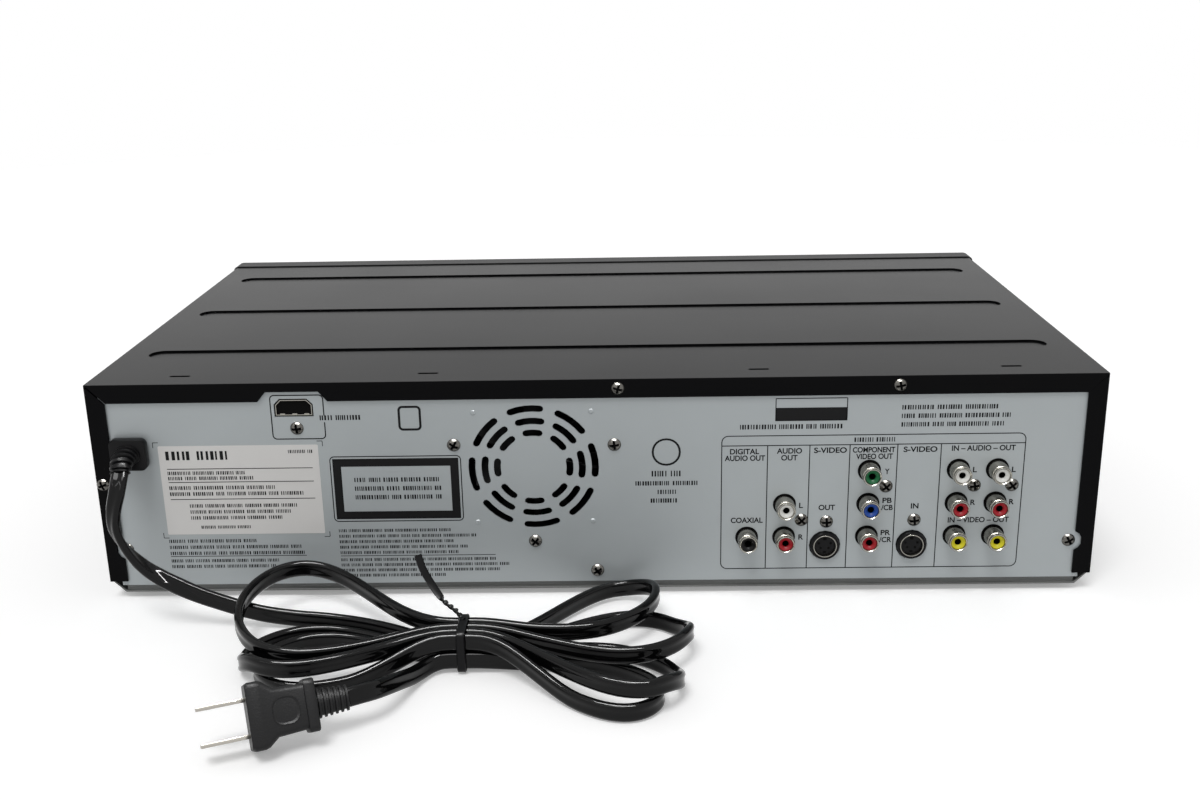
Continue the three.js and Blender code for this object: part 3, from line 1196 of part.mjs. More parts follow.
// The least distance between two parts of the hank that are not close neighbours along it, measured on
// points spread over its rings and between them.
function leastGap(points) {
  const { normals, binormals } = new LaidPath(points, points.map(() => upward)).computeFrenetFrames();
  const corners = hankSection.map((corner) => vector([...corner, 0]));
  const rim = corners.flatMap((corner, j) =>
    quarterShares.map((share) => corner.clone().lerp(corners[(j + 1) % corners.length], share)),
  );
  const rings = points.map((point, i) =>
    rim.map(({ x, y }) => point.clone().addScaledVector(normals[i], x).addScaledVector(binormals[i], y)),
  );
  const filled = rings.map((ring, i) => {
    const next = rings[Math.min(i + 1, rings.length - 1)];
    return quarterShares.flatMap((share) => ring.map((place, j) => place.clone().lerp(next[j], share)));
  });
  let least = { distance: Infinity, at: [] };
  for (let i = 0; i < points.length; i++) {
    for (let k = i + cordRings.lobe / 2; k < points.length; k++) {
      if (points[i].distanceTo(points[k]) > hank.near) continue;
      for (const place of filled[i]) {
        const distance = Math.min(...filled[k].map((other) => place.distanceTo(other)));
        if (distance < least.distance) least = { distance, at: [i, k] };
      }
    }
  }
  return least;
}

function twistTieShape() {
  const bundleY = across(hank.y, 2 * middleColumn * hank.column + flex.thick + 2 * gap);
  const bundleZ = [hank.waist - flex.width / 2 - gap, hank.waist + hank.layer + flex.width / 2 + gap];
  const grown = ([low, high]) => [low - twistTie.thick, high + twistTie.thick];
  const ringX = across(hank.x, twistTie.width);
  const band = cut(
    box(ringX, grown(bundleY), grown(bundleZ)),
    box(grown(ringX), bundleY, bundleZ),
  );
  const start = vector([hank.x, hank.y - twistTie.inset, bundleZ[1] + twistTie.wireThick / 2]);
  const reach = vector([twistTie.tailX, -twistTie.tailY, twistTie.tailRise]);
  const places = tieShares.map((share) => vector(share).multiply(reach).add(start));
  const rings = new THREE.CatmullRomCurve3(places).getSpacedPoints(cordRings.tie);
  const section = scaled(wireSection, twistTie.wire, twistTie.wireThick);
  const wire = sweep(rings, rings.map(() => sideways), section);
  return join(band, solidOf(wire));
}

function mainsCord() {
  const points = hankPoints();
  const bundle = sweep(points, points.map(() => upward), hankSection);
  const least = leastGap(points);
  console.log(`cord_hank: least gap to itself ${least.distance.toFixed(2)} mm, at rings ${least.at}`);
  return [
    cordBushing(),
    stretch("cord_lead", leadPoints, sideways, upward, cordRings.lead),
    piece("cord_hank", bundle, glossCord),
    stretch("cord_tail", tailPoints, upward, plugWide, cordRings.tail),
    piece("twist_tie", twistTieShape(), blackPlastic),
    mainsPlug(),
  ];
}

// The plug lies on its narrow edge: built along +X with its broad side across Z, then turned and leaned.
function mainsPlug() {
  const bodyX = plug.relief + plug.flange;
  const endX = bodyX + plug.handle;
  const slab = (xs, wide, thick) => prism("x", rounded(across(0, thick), across(0, wide), plug.corner), xs);
  const reliefEnd = plug.relief + rootDepth;
  let shape = join(
    sleeve({
      points: [0, 1 / 2, 1].map((share) => vector([share * reliefEnd, 0, 0])),
      wide: upward,
      start: [plug.reliefWidth, plug.reliefThick],
      end: [plug.reliefWidth + plug.corner, plug.reliefThick + plug.corner],
      ribs: counts.plugRibs,
      ribDepth: plug.ribDepth,
    }),
    slab(upFrom(plug.relief, plug.flange), plug.flangeWidth, plug.flangeThick),
    slab(upFrom(bodyX - rootDepth, plug.handle), plug.handleWidth, plug.handleThick),
    slab([endX - plug.front, endX], plug.frontWidth, plug.frontThick),
  );
  const bladeX = upFrom(endX - rootDepth, plug.blade + rootDepth);
  for (const side of [-1, 1]) {
    const bladeZ = across(side * plug.bladeSpacing / 2, plug.bladeThick);
    shape = join(shape, box(bladeX, across(0, plug.bladeWidth), bladeZ));
  }
  const thin = new THREE.Vector3().crossVectors(plugWide, plugAxis);
  const mesh = piece("plug", shape, blackPlastic);
  mesh.rotation.setFromRotationMatrix(new THREE.Matrix4().makeBasis(plugAxis, thin, plugWide));
  mesh.position.copy(vector(tailPoints.at(-1))).addScaledVector(plugAxis, gap);
  return mesh;
}

const unit = group(
  [0, 0, 0],
  topCover(),
  rearPanel(),
  bottomChassis(),
  feet(),
  frontBezel(),
  frontPieces(),
  cassetteDoor(),
  group([deckX, 0, 0], tapeDeck(), cassetteLoader(), headDrum(), tapeDrive(), tapePath()),
  group([driveX, 0, 0], driveChassis(), discTray(), trayGear(), traverseUnit(), discClamp()),
  coolingFan(),
  circuitBoards(),
  jackBlock("av_output_jacks", columns.output),
  jackBlock("av_input_jacks", columns.input, columns.svideoIn),
  jackBlock("component_jacks", columns.component),
  jackBlock("audio_output_jacks", columns.svideoOut, columns.audio, columns.coaxial),
  mainsCord(),
);
unit.name = "disc_and_cassette_recorder";

export default unit;
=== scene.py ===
# %% [markdown]
# # A disc and cassette deck, seen from its connector side
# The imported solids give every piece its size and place. This script gives them their finishes, and makes the
# pieces that need finer shapes anew: the sockets, the plug, the cord, the screws and the print on the panel.
# Lengths are written in millimetres, and MM turns them into Blender's metres.

# %% Imports and the frame
import math
import random

import bmesh
import bpy
from mathutils import Matrix, Vector


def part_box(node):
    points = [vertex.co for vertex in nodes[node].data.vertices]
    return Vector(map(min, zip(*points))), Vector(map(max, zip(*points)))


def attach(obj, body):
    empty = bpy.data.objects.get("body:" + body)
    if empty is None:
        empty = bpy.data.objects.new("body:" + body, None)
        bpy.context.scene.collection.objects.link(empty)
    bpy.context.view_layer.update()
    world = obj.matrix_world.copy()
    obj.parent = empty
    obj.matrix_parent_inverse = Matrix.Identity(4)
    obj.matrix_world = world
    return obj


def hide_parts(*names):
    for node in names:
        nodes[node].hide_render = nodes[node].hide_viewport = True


MM = 0.001
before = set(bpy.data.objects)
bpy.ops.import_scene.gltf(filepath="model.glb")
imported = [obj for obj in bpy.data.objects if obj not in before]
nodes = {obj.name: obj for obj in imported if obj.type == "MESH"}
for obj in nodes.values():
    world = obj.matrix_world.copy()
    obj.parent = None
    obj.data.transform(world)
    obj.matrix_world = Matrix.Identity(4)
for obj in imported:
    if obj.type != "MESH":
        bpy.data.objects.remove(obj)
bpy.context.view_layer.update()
print("solids in the frame:", len(nodes))

# %% [markdown]
# ## Camera
# The deck was photographed from behind, a little above it. A camera could be aimed at a target with a constraint,
# but a fitted place and three angles give the same frame each time, so the camera's matrix is written outright.

# %% Camera at the photograph's viewing angle
CAMERA_AT = (-14.49, 654.87, 259.81)
CAMERA_PITCH, CAMERA_YAW, CAMERA_ROLL = 17.6585, 1.17502, -0.69233
LENS = 40.017
SENSOR = 36


def placed(name, data):
    """Makes an object of the data and puts it in the scene."""
    made = bpy.data.objects.new(name, data)
    bpy.context.scene.collection.objects.link(made)
    return made


def add_camera():
    angles = [math.radians(a) for a in (CAMERA_ROLL, CAMERA_YAW, CAMERA_PITCH)]
    roll, yaw, pitch = (Matrix.Rotation(a, 3, axis) for a, axis in zip(angles, "ZYX"))
    rows = roll @ yaw @ pitch @ Matrix(((-1, 0, 0), (0, 0, -1), (0, -1, 0)))
    turn = Matrix((rows[0], -rows[1], -rows[2])).transposed().to_4x4()
    data = bpy.data.cameras.new("photo_camera")
    data.lens = LENS
    data.sensor_width = SENSOR
    data.sensor_fit = "HORIZONTAL"
    camera = placed("photo_camera", data)
    camera.matrix_world = Matrix.Translation(Vector(CAMERA_AT) * MM) @ turn
    bpy.context.scene.camera = camera


add_camera()

# %% [markdown]
# ## Finishes
# The real deck is sprayed steel, plated steel, moulded plastic and nickel. Image textures could show their grain,
# but noise laid in object space needs no file, has no seams and keeps its scale on every piece. Each finish is
# one Principled shader: noise lifts its normal for grain, shifts its roughness, and shades its colour a little.

# %% A finish with grain, uneven gloss and uneven colour
CLOUD_SCALE = 14
SHADE_SCALE, SHADE_DETAIL = 56, 6
GRAIN_DEPTH = 0.25


def set_values(node, values):
    for socket, value in values.items():
        node.inputs[socket].default_value = value


def add_node(tree, kind, values=None):
    made = tree.nodes.new("ShaderNode" + kind)
    set_values(made, values or {})
    return made


def noise(tree, place, scale, detail=2.0):
    made = add_node(tree, "TexNoise", {"Scale": scale, "Detail": detail})
    tree.links.new(place.outputs["Object"], made.inputs["Vector"])
    return made.outputs["Fac"]


def finish(name, color, rough, metal=0.0, specular=0.5, coat=0.0, grain=0.0, grain_scale=900.0, mottle=0.0,
           shade=0.0):
    made = bpy.data.materials.new(name)
    made.use_nodes = True
    tree = made.node_tree
    shader, link = tree.nodes["Principled BSDF"], tree.links.new
    set_values(shader, {"Base Color": (*color, 1), "Roughness": rough, "Metallic": metal,
                        "Specular IOR Level": specular, "Coat Weight": coat})
    place = add_node(tree, "TexCoord")
    if grain:
        bump = add_node(tree, "Bump", {"Strength": grain, "Distance": GRAIN_DEPTH * MM})
        link(noise(tree, place, grain_scale), bump.inputs["Height"])
        link(bump.outputs["Normal"], shader.inputs["Normal"])
    if mottle:
        spread = add_node(tree, "MapRange", {"To Min": rough - mottle, "To Max": rough + mottle})
        link(noise(tree, place, CLOUD_SCALE), spread.inputs["Value"])
        link(spread.outputs["Result"], shader.inputs["Roughness"])
    if shade:
        tones = add_node(tree, "ValToRGB")
        tones.color_ramp.elements[0].color = (*[c * (1 - shade) for c in color], 1)
        tones.color_ramp.elements[1].color = (*[c * (1 + shade) for c in color], 1)
        link(noise(tree, place, SHADE_SCALE, SHADE_DETAIL), tones.inputs["Fac"])
        link(tones.outputs["Color"], shader.inputs["Base Color"])
    return made


# %% [markdown]
# The black paint and plastics get little reflection, because in a white studio a strong one turns black to grey.
# The cord is the exception: its skin is smooth and shows the lamps as bright lines.

# %% The finishes
COVER = finish("cover_paint", (0.0016, 0.0016, 0.002), 0.22, specular=0.05, grain=0.06, grain_scale=2600,
               mottle=0.05)
PANEL = finish("panel_steel", (0.38, 0.41, 0.42), 0.42, metal=0.15, grain=0.05, grain_scale=1500, mottle=0.05,
               shade=0.03)
# Steel for the bottom pan, coloured darker than the steel is, as painted shade on its lip under the panel.
PAN_STEEL_AND_PAINTED_SHADE = finish("pan_steel_painted_shade", (0.11, 0.113, 0.11), 0.45, metal=0.4, mottle=0.06, shade=0.05)
MOULDED = finish("moulded_black", (0.006, 0.006, 0.0065), 0.42, specular=0.16, grain=0.25, grain_scale=2200)
SATIN = finish("satin_black", (0.004, 0.004, 0.0045), 0.3, specular=0.14, grain=0.08, grain_scale=1800,
               mottle=0.05)
# Near black: the own colour of the chips and the video tongue, and painted shade in holes, bores, recesses and
# gaps.
BLACK_AND_PAINTED_SHADE = finish("black_and_painted_shade", (0.002, 0.002, 0.002), 0.6, specular=0.05, grain=0.2)
RUBBER = finish("rubber", (0.009, 0.009, 0.009), 0.8, specular=0.15, grain=0.3)
NICKEL = finish("nickel", (0.3, 0.29, 0.26), 0.22, metal=1, mottle=0.07, shade=0.08)
BLADE = finish("blade_nickel", (0.42, 0.4, 0.36), 0.24, metal=1, mottle=0.06, shade=0.05)
SCREW = finish("screw_nickel", (0.13, 0.125, 0.115), 0.24, metal=1, mottle=0.08, shade=0.1)
ZINC = finish("zinc_plate", (0.5, 0.51, 0.52), 0.35, metal=0.9, mottle=0.1, shade=0.08)
STEEL = finish("bright_steel", (0.66, 0.67, 0.68), 0.14, metal=1, mottle=0.04)
ALLOY = finish("cast_alloy", (0.45, 0.46, 0.47), 0.4, metal=0.9, grain=0.2, shade=0.06)
WHITE = finish("white_plastic", (0.66, 0.65, 0.61), 0.42, grain=0.06, mottle=0.05)
BOARD = finish("circuit_board", (0.02, 0.1, 0.045), 0.35, mottle=0.05, shade=0.15)
CORD = finish("cord_black", (0.002, 0.002, 0.0022), 0.1, specular=0.2, grain=0.02, grain_scale=1400, mottle=0.03)
PLUG = finish("plug_black", (0.009, 0.009, 0.0095), 0.42, specular=0.2, grain=0.35, grain_scale=1800)
PAPER = finish("label_paper", (0.66, 0.65, 0.635), 0.45, specular=0.3, grain=0.04, shade=0.015)
INK = finish("print_ink", (0.006, 0.006, 0.0065), 0.5, specular=0.12, grain=0.1, grain_scale=3000)
GLASS = finish("smoked_glass", (0.008, 0.009, 0.01), 0.06, specular=0.3, coat=0.2, mottle=0.02)
GOLD = finish("contact_gold", (0.55, 0.4, 0.2), 0.3, metal=1, mottle=0.05)
INSERT_COLORS = {
    "red": (0.33, 0.009, 0.016), "green": (0.007, 0.12, 0.04), "blue": (0.012, 0.06, 0.3),
    "yellow": (0.62, 0.56, 0.02), "white": (0.72, 0.72, 0.69), "black": (0.005, 0.005, 0.005),
}
INSERTS = {}
for name, color in INSERT_COLORS.items():
    gleam = 0.15 if name == "black" else 0.25
    INSERTS[name] = finish("insert_" + name, color, 0.36, specular=gleam, grain=0.1, mottle=0.04)
print("finishes:", len(bpy.data.materials))

# %% [markdown]
# ## Frames for pieces
# A rear piece is easier to think about in a frame of its own: u to the picture's right, v up and w out of the
# panel. It could be an empty that pieces hang from, but finished pieces must sit at the origin, so the frame is a
# matrix, and each small solid is moved by it before it joins its piece.

# %% Frames on the rear panel and along a direction
REAR = Matrix(((-1, 0, 0, 0), (0, 0, 1, 0), (0, 1, 0, 0), (0, 0, 0, 1)))
UP = Vector((0, 0, 1))
ACROSS = Vector((1, 0, 0))


def rear_at(x, y, z):
    return Matrix.Translation((x, y, z)) @ REAR


def along(at, direction, up):
    w = Vector(direction).normalized()
    u = up.cross(w).normalized()
    turn = Matrix((u, w.cross(u), w)).transposed().to_4x4()
    return Matrix.Translation(Vector(at)) @ turn


def shifted(place, u=0.0, v=0.0, w=0.0):
    return place @ Matrix.Translation((u, v, w))


# %% [markdown]
# ## From small solids to a piece
# Each small solid is a bmesh made by operators about its own origin. One helper turns it to its place and adds it
# to the piece, with its faces made to point outwards; another makes the object, which rides on a body of the
# frame and may stand for one of its solids.

# %% Adding a solid, and finishing a piece
SMOOTH_ANGLE = 40


def pour(bm, part):
    """Adds a part to the piece, through a mesh that carries it."""
    carrier = bpy.data.meshes.new("carrier")
    part.to_mesh(carrier)
    part.free()
    bm.from_mesh(carrier)
    bpy.data.meshes.remove(carrier)


def add_to(bm, part, place, slot=0):
    """Slot None keeps the slots that the faces have."""
    if slot is not None:
        for face in part.faces:
            face.material_index = slot
    part.transform(place)
    bmesh.ops.recalc_face_normals(part, faces=part.faces)
    pour(bm, part)


def piece(name, bm, materials, replaces=()):
    bmesh.ops.scale(bm, vec=(MM, MM, MM), verts=bm.verts)
    mesh = bpy.data.meshes.new(name)
    bm.to_mesh(mesh)
    bm.free()
    for material in materials:
        mesh.materials.append(material)
    mesh.polygons.foreach_set("use_smooth", [True] * len(mesh.polygons))
    mesh.set_sharp_from_angle(angle=math.radians(SMOOTH_ANGLE))
    made = placed(name, mesh)
    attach(made, "cabinet")
    if replaces:
        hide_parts(*replaces)
    print(name, "faces:", len(mesh.polygons))
    return made


# %% [markdown]
# ## Small solids
# Three shapes make up most of the rear: turned pieces, which spin makes from a profile; bars with rounded corners,
# which are a cube with its edges bevelled; and pieces of a given outline, one face drawn out by an extrusion.
# Ready-made cylinders would do for a stand-in, but a spun profile has the lips and steps that catch the light.

# %% Turned pieces
TOUCH = 0.001


def peg(radius, low, high):
    """The profile of a plain round peg."""
    return [(0, low), (radius, low), (radius, high), (0, high)]


def spun(profile, steps=40, ring=False):
    """Turns a profile of radius and height about w. A ring's profile closes on itself; another starts and ends
    on the axis."""
    part = bmesh.new()
    dots = [part.verts.new((radius, 0, height)) for radius, height in profile]
    pairs = list(zip(dots, dots[1:])) + ([(dots[-1], dots[0])] if ring else [])
    wires = [part.edges.new(pair) for pair in pairs]
    bmesh.ops.spin(
        part, geom=dots + wires, cent=(0, 0, 0), axis=(0, 0, 1), dvec=(0, 0, 0), angle=2 * math.pi, steps=steps,
        use_merge=True, use_duplicate=False,
    )
    bmesh.ops.remove_doubles(part, verts=part.verts, dist=TOUCH)
    return part


# %% Bars with rounded corners
def beveled(part, items, offset, segments, affect="EDGES"):
    bmesh.ops.bevel(part, geom=items, offset=offset, offset_type="OFFSET", affect=affect, segments=segments,
                    profile=0.5, material=-1, clamp_overlap=True)


def climb(edge):
    return abs(edge.verts[0].co.z - edge.verts[1].co.z)


def bar(u_size, v_size, low, high, corner=0.0, edge=0.0, corner_steps=5):
    """A box about w from low to high; corner rounds its long edges and edge softens both ends."""
    part = bmesh.new()
    middle = Matrix.Translation((0, 0, (low + high) / 2))
    bmesh.ops.create_cube(part, size=1, matrix=middle @ Matrix.Diagonal((u_size, v_size, high - low, 1)))
    if corner:
        posts = [e for e in part.edges if climb(e) > (high - low) / 2]
        beveled(part, posts, corner, corner_steps)
    if edge:
        rims = [e for e in part.edges if climb(e) < edge]
        beveled(part, rims, edge, 2)
    return part


def block(bm, low, high, slot=0, edge=0.0):
    """A box between two corners of the deck's own frame."""
    size = [b - a for a, b in zip(low, high)]
    foot = Matrix.Translation(((low[0] + high[0]) / 2, (low[1] + high[1]) / 2, low[2]))
    add_to(bm, bar(size[0], size[1], 0, size[2], edge=edge), foot, slot)


# %% Pieces of a given outline
def drawn_out(outline, low, high):
    part = bmesh.new()
    base = part.faces.new([part.verts.new((u, v, low)) for u, v in outline])
    wall = bmesh.ops.extrude_face_region(part, geom=[base])["geom"]
    lifted = [item for item in wall if isinstance(item, bmesh.types.BMVert)]
    bmesh.ops.translate(part, vec=(0, 0, high - low), verts=lifted)
    return part


def end_face(part):
    """The face that closes the upper end."""
    return max(part.faces, key=lambda face: face.calc_center_median().z)


# %% [markdown]
# ## Mains cord
# The lead is a flat twin flex: two round cores side by side under one skin. It leaves the bushing, drops to the
# floor, runs through a hank tied with a wire tie, and ends in the plug. A curve with a bevel object could draw
# it, but would not keep the flat side turned the way the flex lies, so rings of the section are laid along the
# route and skinned. The route is the one that the solids follow: points for the free ends, a formula for the
# hank's lobes.

# %% The route's numbers
FLEX_WIDTH, FLEX_THICK = 7.2, 3.5
LEAD = [
    (198.28, 135.2, 64.75), (198.24, 137.5, 62.6), (198.8, 140.4, 57.6), (200.2, 142.6, 50.5),
    (200.2, 144, 42.8), (196, 145.4, 35), (187, 147.4, 26.2), (171.4, 148.6, 17.3),
    (155.5, 149, 11), (141.3, 149.2, 6.6), (126.9, 149.6, 4.3), (112, 151.6, 3.8),
    (96, 156.2, 3.8), (82, 163, 4.1), (71, 170.4, 4.8), (63, 174.7, 5.2),
    (55.8, 175.4, 5.2),
]
TAIL = [
    (55.8, 188.6, 5.2), (59.8, 189, 5), (63.4, 191, 4.5), (66.4, 195, 4.3),
    (69.2, 200.8, 5.2), (72.2, 208.4, 7.6), (75.4, 216.8, 10.4), (79, 223.6, 12.4),
    (83.4, 227.9, 13.3), (87.5, 230.3, 13.3),
]
HANK = {
    "x": 51.5, "y": 182, "column": 4.4, "layer": 7.95, "ground": 3.75, "waist": 5.2, "straight": 4, "lift": 0.35,
}
# Each lobe: side, reach, swing, breadth, column and layer it starts and ends in, where its layer changes, raise.
LOBES = [
    (-1, 73, -30, -42, (0, 0), (0, 1), (0.28, 0.52), 0.8),
    (1, 90, -19, -58, (0, 1), (1, 1), (0.3, 0.7), 3.4),
    (-1, 86, -6, 41, (1, 1), (1, 0), (0.42, 0.64), 0),
    (1, 83, 3, -37, (1, 0), (2, 1), (0.49, 0.66), 0),
    (-1, 81, 22, 36.5, (2, 1), (2, 0), (0.36, 0.58), 0),
    (1, 76, 3, -33, (2, 0), (3, 1), (0.83, 0.99), 0),
    (-1, 73, 25, 28.5, (3, 1), (3, 0), (0.03, 0.2), 0),
]
FIRST_COLUMN, LAST_COLUMN = 0, 3
MIDDLE_COLUMN = (FIRST_COLUMN + LAST_COLUMN) / 2
RINGS_PER_LOBE = 60
PLUG_TURN, PLUG_LEAN = 23, 30
LEAD_TWIST, LEAD_TWIST_SHARE = 180, 0.42
plug_axis = Vector((math.cos(math.radians(PLUG_TURN)), math.sin(math.radians(PLUG_TURN)), 0))
plug_wide = Matrix.Rotation(math.radians(PLUG_LEAN), 3, plug_axis) @ UP


# %% Free stretches: an even run of points on a smooth curve
def run_length(path):
    return sum((b - a).length for a, b in zip(path, path[1:]))


def ease(value):
    share = min(max(value, 0), 1)
    return share * share * (3 - 2 * share)


def spline(points, spacing, dense_steps=12):
    """Evenly spaced points on a centripetal Catmull-Rom curve."""
    ends = [Vector(p) for p in points]
    ends = [2 * ends[0] - ends[1], *ends, 2 * ends[-1] - ends[-2]]
    dense = []
    for a, b, c, d in zip(ends, ends[1:], ends[2:], ends[3:]):
        t1 = (b - a).length ** 0.5
        t2 = t1 + (c - b).length ** 0.5
        t3 = t2 + (d - c).length ** 0.5
        for i in range(dense_steps):
            t = t1 + (t2 - t1) * i / dense_steps
            ab = a.lerp(b, t / t1)
            bc = b.lerp(c, (t - t1) / (t2 - t1))
            cd = c.lerp(d, (t - t2) / (t3 - t2))
            first, second = ab.lerp(bc, t / t2), bc.lerp(cd, (t - t1) / (t3 - t1))
            dense.append(first.lerp(second, (t - t1) / (t2 - t1)))
    dense.append(ends[-2])
    total = run_length(dense)
    count = max(2, round(total / spacing))
    spaced, run, step_length = [dense[0]], 0.0, total / count
    for a, b in zip(dense, dense[1:]):
        step = (b - a).length
        while len(spaced) < count and run + step >= step_length * len(spaced):
            spaced.append(a.lerp(b, (step_length * len(spaced) - run) / step))
        run += step
    spaced.append(dense[-1])
    return spaced


# %% The hank: seven lobes to either side of the tie
def column_y(column):
    return HANK["y"] + (column - MIDDLE_COLUMN) * HANK["column"]


def hank_end(column):
    return Vector((HANK["x"] + HANK["straight"], column_y(column), HANK["waist"]))


def hank_path():
    path = [hank_end(FIRST_COLUMN)]
    for side, reach, swing, breadth, start, end, turn, lift in LOBES:
        y0, y1 = column_y(start[0]), column_y(end[0])
        for i in range(RINGS_PER_LOBE + 1):
            share = i / RINGS_PER_LOBE
            s, c = math.sin(share * math.pi), math.cos(share * math.pi)
            layer = start[1] + (end[1] - start[1]) * ease((share - turn[0]) / (turn[1] - turn[0]))
            low = HANK["waist"] - (HANK["waist"] - HANK["ground"]) * ease(s / HANK["lift"])
            path.append(Vector((
                HANK["x"] + side * (HANK["straight"] + reach * s),
                y0 + (y1 - y0) * ease(share) + (swing + breadth * c) * ease(s),
                low + layer * HANK["layer"] + lift * s**2 * (1 + c) ** 2,
            )))
    path.append(hank_end(LAST_COLUMN))
    return path


# %% Skinning a section along a route
def loft(bm, rings, closed):
    """Joins rings of the same count one after another, and closes the ends with a face each."""
    made = [[bm.verts.new(p) for p in ring] for ring in rings]
    for low, high in zip(made, made[1:] + (made[:1] if closed else [])):
        for i in range(len(low)):
            k = (i + 1) % len(low)
            bm.faces.new((low[i], low[k], high[k], high[i]))
    if not closed:
        bm.faces.new(list(reversed(made[0])))
        bm.faces.new(made[-1])


def heading(path, i, closed=False):
    """The direction along the path at one of its points."""
    before = path[i - 1] if closed else path[max(i - 1, 0)]
    after = path[(i + 1) % len(path)] if closed else path[min(i + 1, len(path) - 1)]
    return (after - before).normalized()


def skin_path(bm, path, widths, section, closed=False, scales=None):
    """Sets the section across the path at each point, its u along that point's width, and skins it."""
    rings = []
    for i, at in enumerate(path):
        tangent = heading(path, i, closed)
        wide = (widths[i] - tangent * widths[i].dot(tangent)).normalized()
        thick = tangent.cross(wide)
        k = scales[i] if scales else (1, 1)
        rings.append([at + wide * u * k[0] + thick * v * k[1] for u, v in section])
    loft(bm, rings, closed)


def twin_section(width, thick, steps=8, groove_degrees=55):
    """Two round cores side by side with a groove between them."""
    radius = thick / 2
    centre = width / 2 - radius
    half = []
    for i in range(steps + 1):
        a = math.radians((groove_degrees - 180) * (1 - 2 * i / steps))
        half.append((centre + radius * math.cos(a), radius * math.sin(a)))
    return half + [(-u, -v) for u, v in half]


# %% Turning the flat side along a free stretch
def turned_widths(path, first, last, extra=0.0, within=1.0):
    """Carries the width along the path without twist, then spreads the turn that is left over it. The first
    share of the path, within, takes an extra turn in degrees as well."""
    top = len(path) - 1
    ahead = [heading(path, i) for i in range(top + 1)]
    carried = [Vector(first)]
    for a, b in zip(ahead, ahead[1:]):
        carried.append(a.rotation_difference(b) @ carried[-1])
    across, end = ahead[-1].cross(carried[-1]), Vector(last)
    left = math.atan2(end.dot(across), end.dot(carried[-1]))
    left -= math.pi * round(left / math.pi)
    turns = [left * ease(i / top) + math.radians(extra) * ease(i / top / within) for i in range(top + 1)]
    return [Matrix.Rotation(turn, 3, axis) @ width for turn, axis, width in zip(turns, ahead, carried)]


# %% The cord itself
RING_SPACING = 1.5


def add_cord():
    lead, tail = spline(LEAD, RING_SPACING), spline(TAIL, RING_SPACING)
    hank = hank_path()
    path = [*lead, *hank, *tail]
    widths = turned_widths(lead, ACROSS, UP, extra=LEAD_TWIST, within=LEAD_TWIST_SHARE)
    widths += [UP] * len(hank) + turned_widths(tail, UP, plug_wide)
    bm = bmesh.new()
    skin_path(bm, path, widths, twin_section(FLEX_WIDTH, FLEX_THICK))
    made = piece("mains_cord", bm, [CORD], replaces=("cord_lead", "cord_hank", "cord_tail"))
    length = run_length(path) * MM
    print("cord length in metres:", round(length, 4))
    return made, [p * MM for p in path], length


cord, cord_path, cord_length = add_cord()

# %% [markdown]
# ## Bushing and strain relief
# A moulded grommet holds the lead in the panel, and its ribbed sleeve keeps the lead from being bent sharply. The
# flange is a bevelled bar. The sleeve bends, so it is skinned along its own short route, with rings that step in
# and out for the ribs.

# %% The ribbed sleeve, which the plug uses too
BOOT = [(198.7, 124.3, 68.6), (198.7, 129, 68.4), (198.5, 132.4, 67.2), (198.3, 134.8, 65.1), (198.25, 135.2, 64.7)]


def ribbed(bm, path, wide, start, end, ribs, depth, around=28, rings_per_rib=8):
    """A round sleeve from the start's width and thickness to the end's, grooved by the depth after each rib."""
    section = [(math.cos(2 * math.pi * i / around), math.sin(2 * math.pi * i / around)) for i in range(around)]
    rings, scales = [], []
    steps = ribs * rings_per_rib
    for i in range(steps + 1):
        share = i / steps
        k = share * (len(path) - 1)
        low = int(k)
        inset = 0 if i % rings_per_rib < rings_per_rib / 2 else depth
        rings.append(path[low].lerp(path[min(low + 1, len(path) - 1)], k - low))
        scales.append([(p * (1 - share) + q * share) / 2 - inset for p, q in zip(start, end)])
    skin_path(bm, rings, [wide] * len(rings), section, scales=scales)


# %% The bushing
PANEL_Y = 119.65
BUSHING_AT = (198.7, PANEL_Y + 0.3, 68.4)
# Flange, neck in the hole and inner flange: width, height, from and to, corner, edge.
GROMMET = [(15.6, 14, 0, 4.4, 2.6, 0.7), (11.4, 9.8, -8, 1, 2, 0), (14.6, 13, -8.3, -1.3, 2.4, 0)]
BOOT_ROOT, BOOT_TIP = (11.4, 9), (8.8, 5.2)


def add_bushing():
    bm = bmesh.new()
    for wide, tall, low, high, corner, edge in GROMMET:
        add_to(bm, bar(wide, tall, low, high, corner=corner, edge=edge), rear_at(*BUSHING_AT))
    ribbed(bm, spline(BOOT, 1), ACROSS, BOOT_ROOT, BOOT_TIP, ribs=5, depth=1.1)
    return piece("cord_bushing_detail", bm, [SATIN], replaces=("cord_bushing",))


bushing = add_bushing()

# %% [markdown]
# ## Wire tie
# A plastic strip over two thin wires goes round the bundle; its ends are twisted together and then stand up flat.
# A twist could be a Simple Deform modifier on a straight strip, but the tail also bends, so the strip's section is
# skinned along its route and turned a little more at each ring while the twist lasts.

# %% The tie
TIE_TAIL = [(51.5, 179, 17.85), (54.5, 175, 19.44), (60, 170.54, 21.83), (65.5, 165.86, 27.4),
            (69.05, 163.34, 32.97), (71, 161, 37.75)]
TWISTED_SHARE = 0.42
TWIST_TURNS = 2.5
TWISTED_WIDE, FLAT_GAIN = 0.62, 0.26
TAIL_WIDE = Vector((0.81, 0.28, -0.51))
BAND_HALF, BAND_LOW, BAND_HIGH, BAND_CORNER = 9.2, 0.75, 17.6, 2.2
STRIP_WIDE, STRIP_THICK = 3.5, 1.1


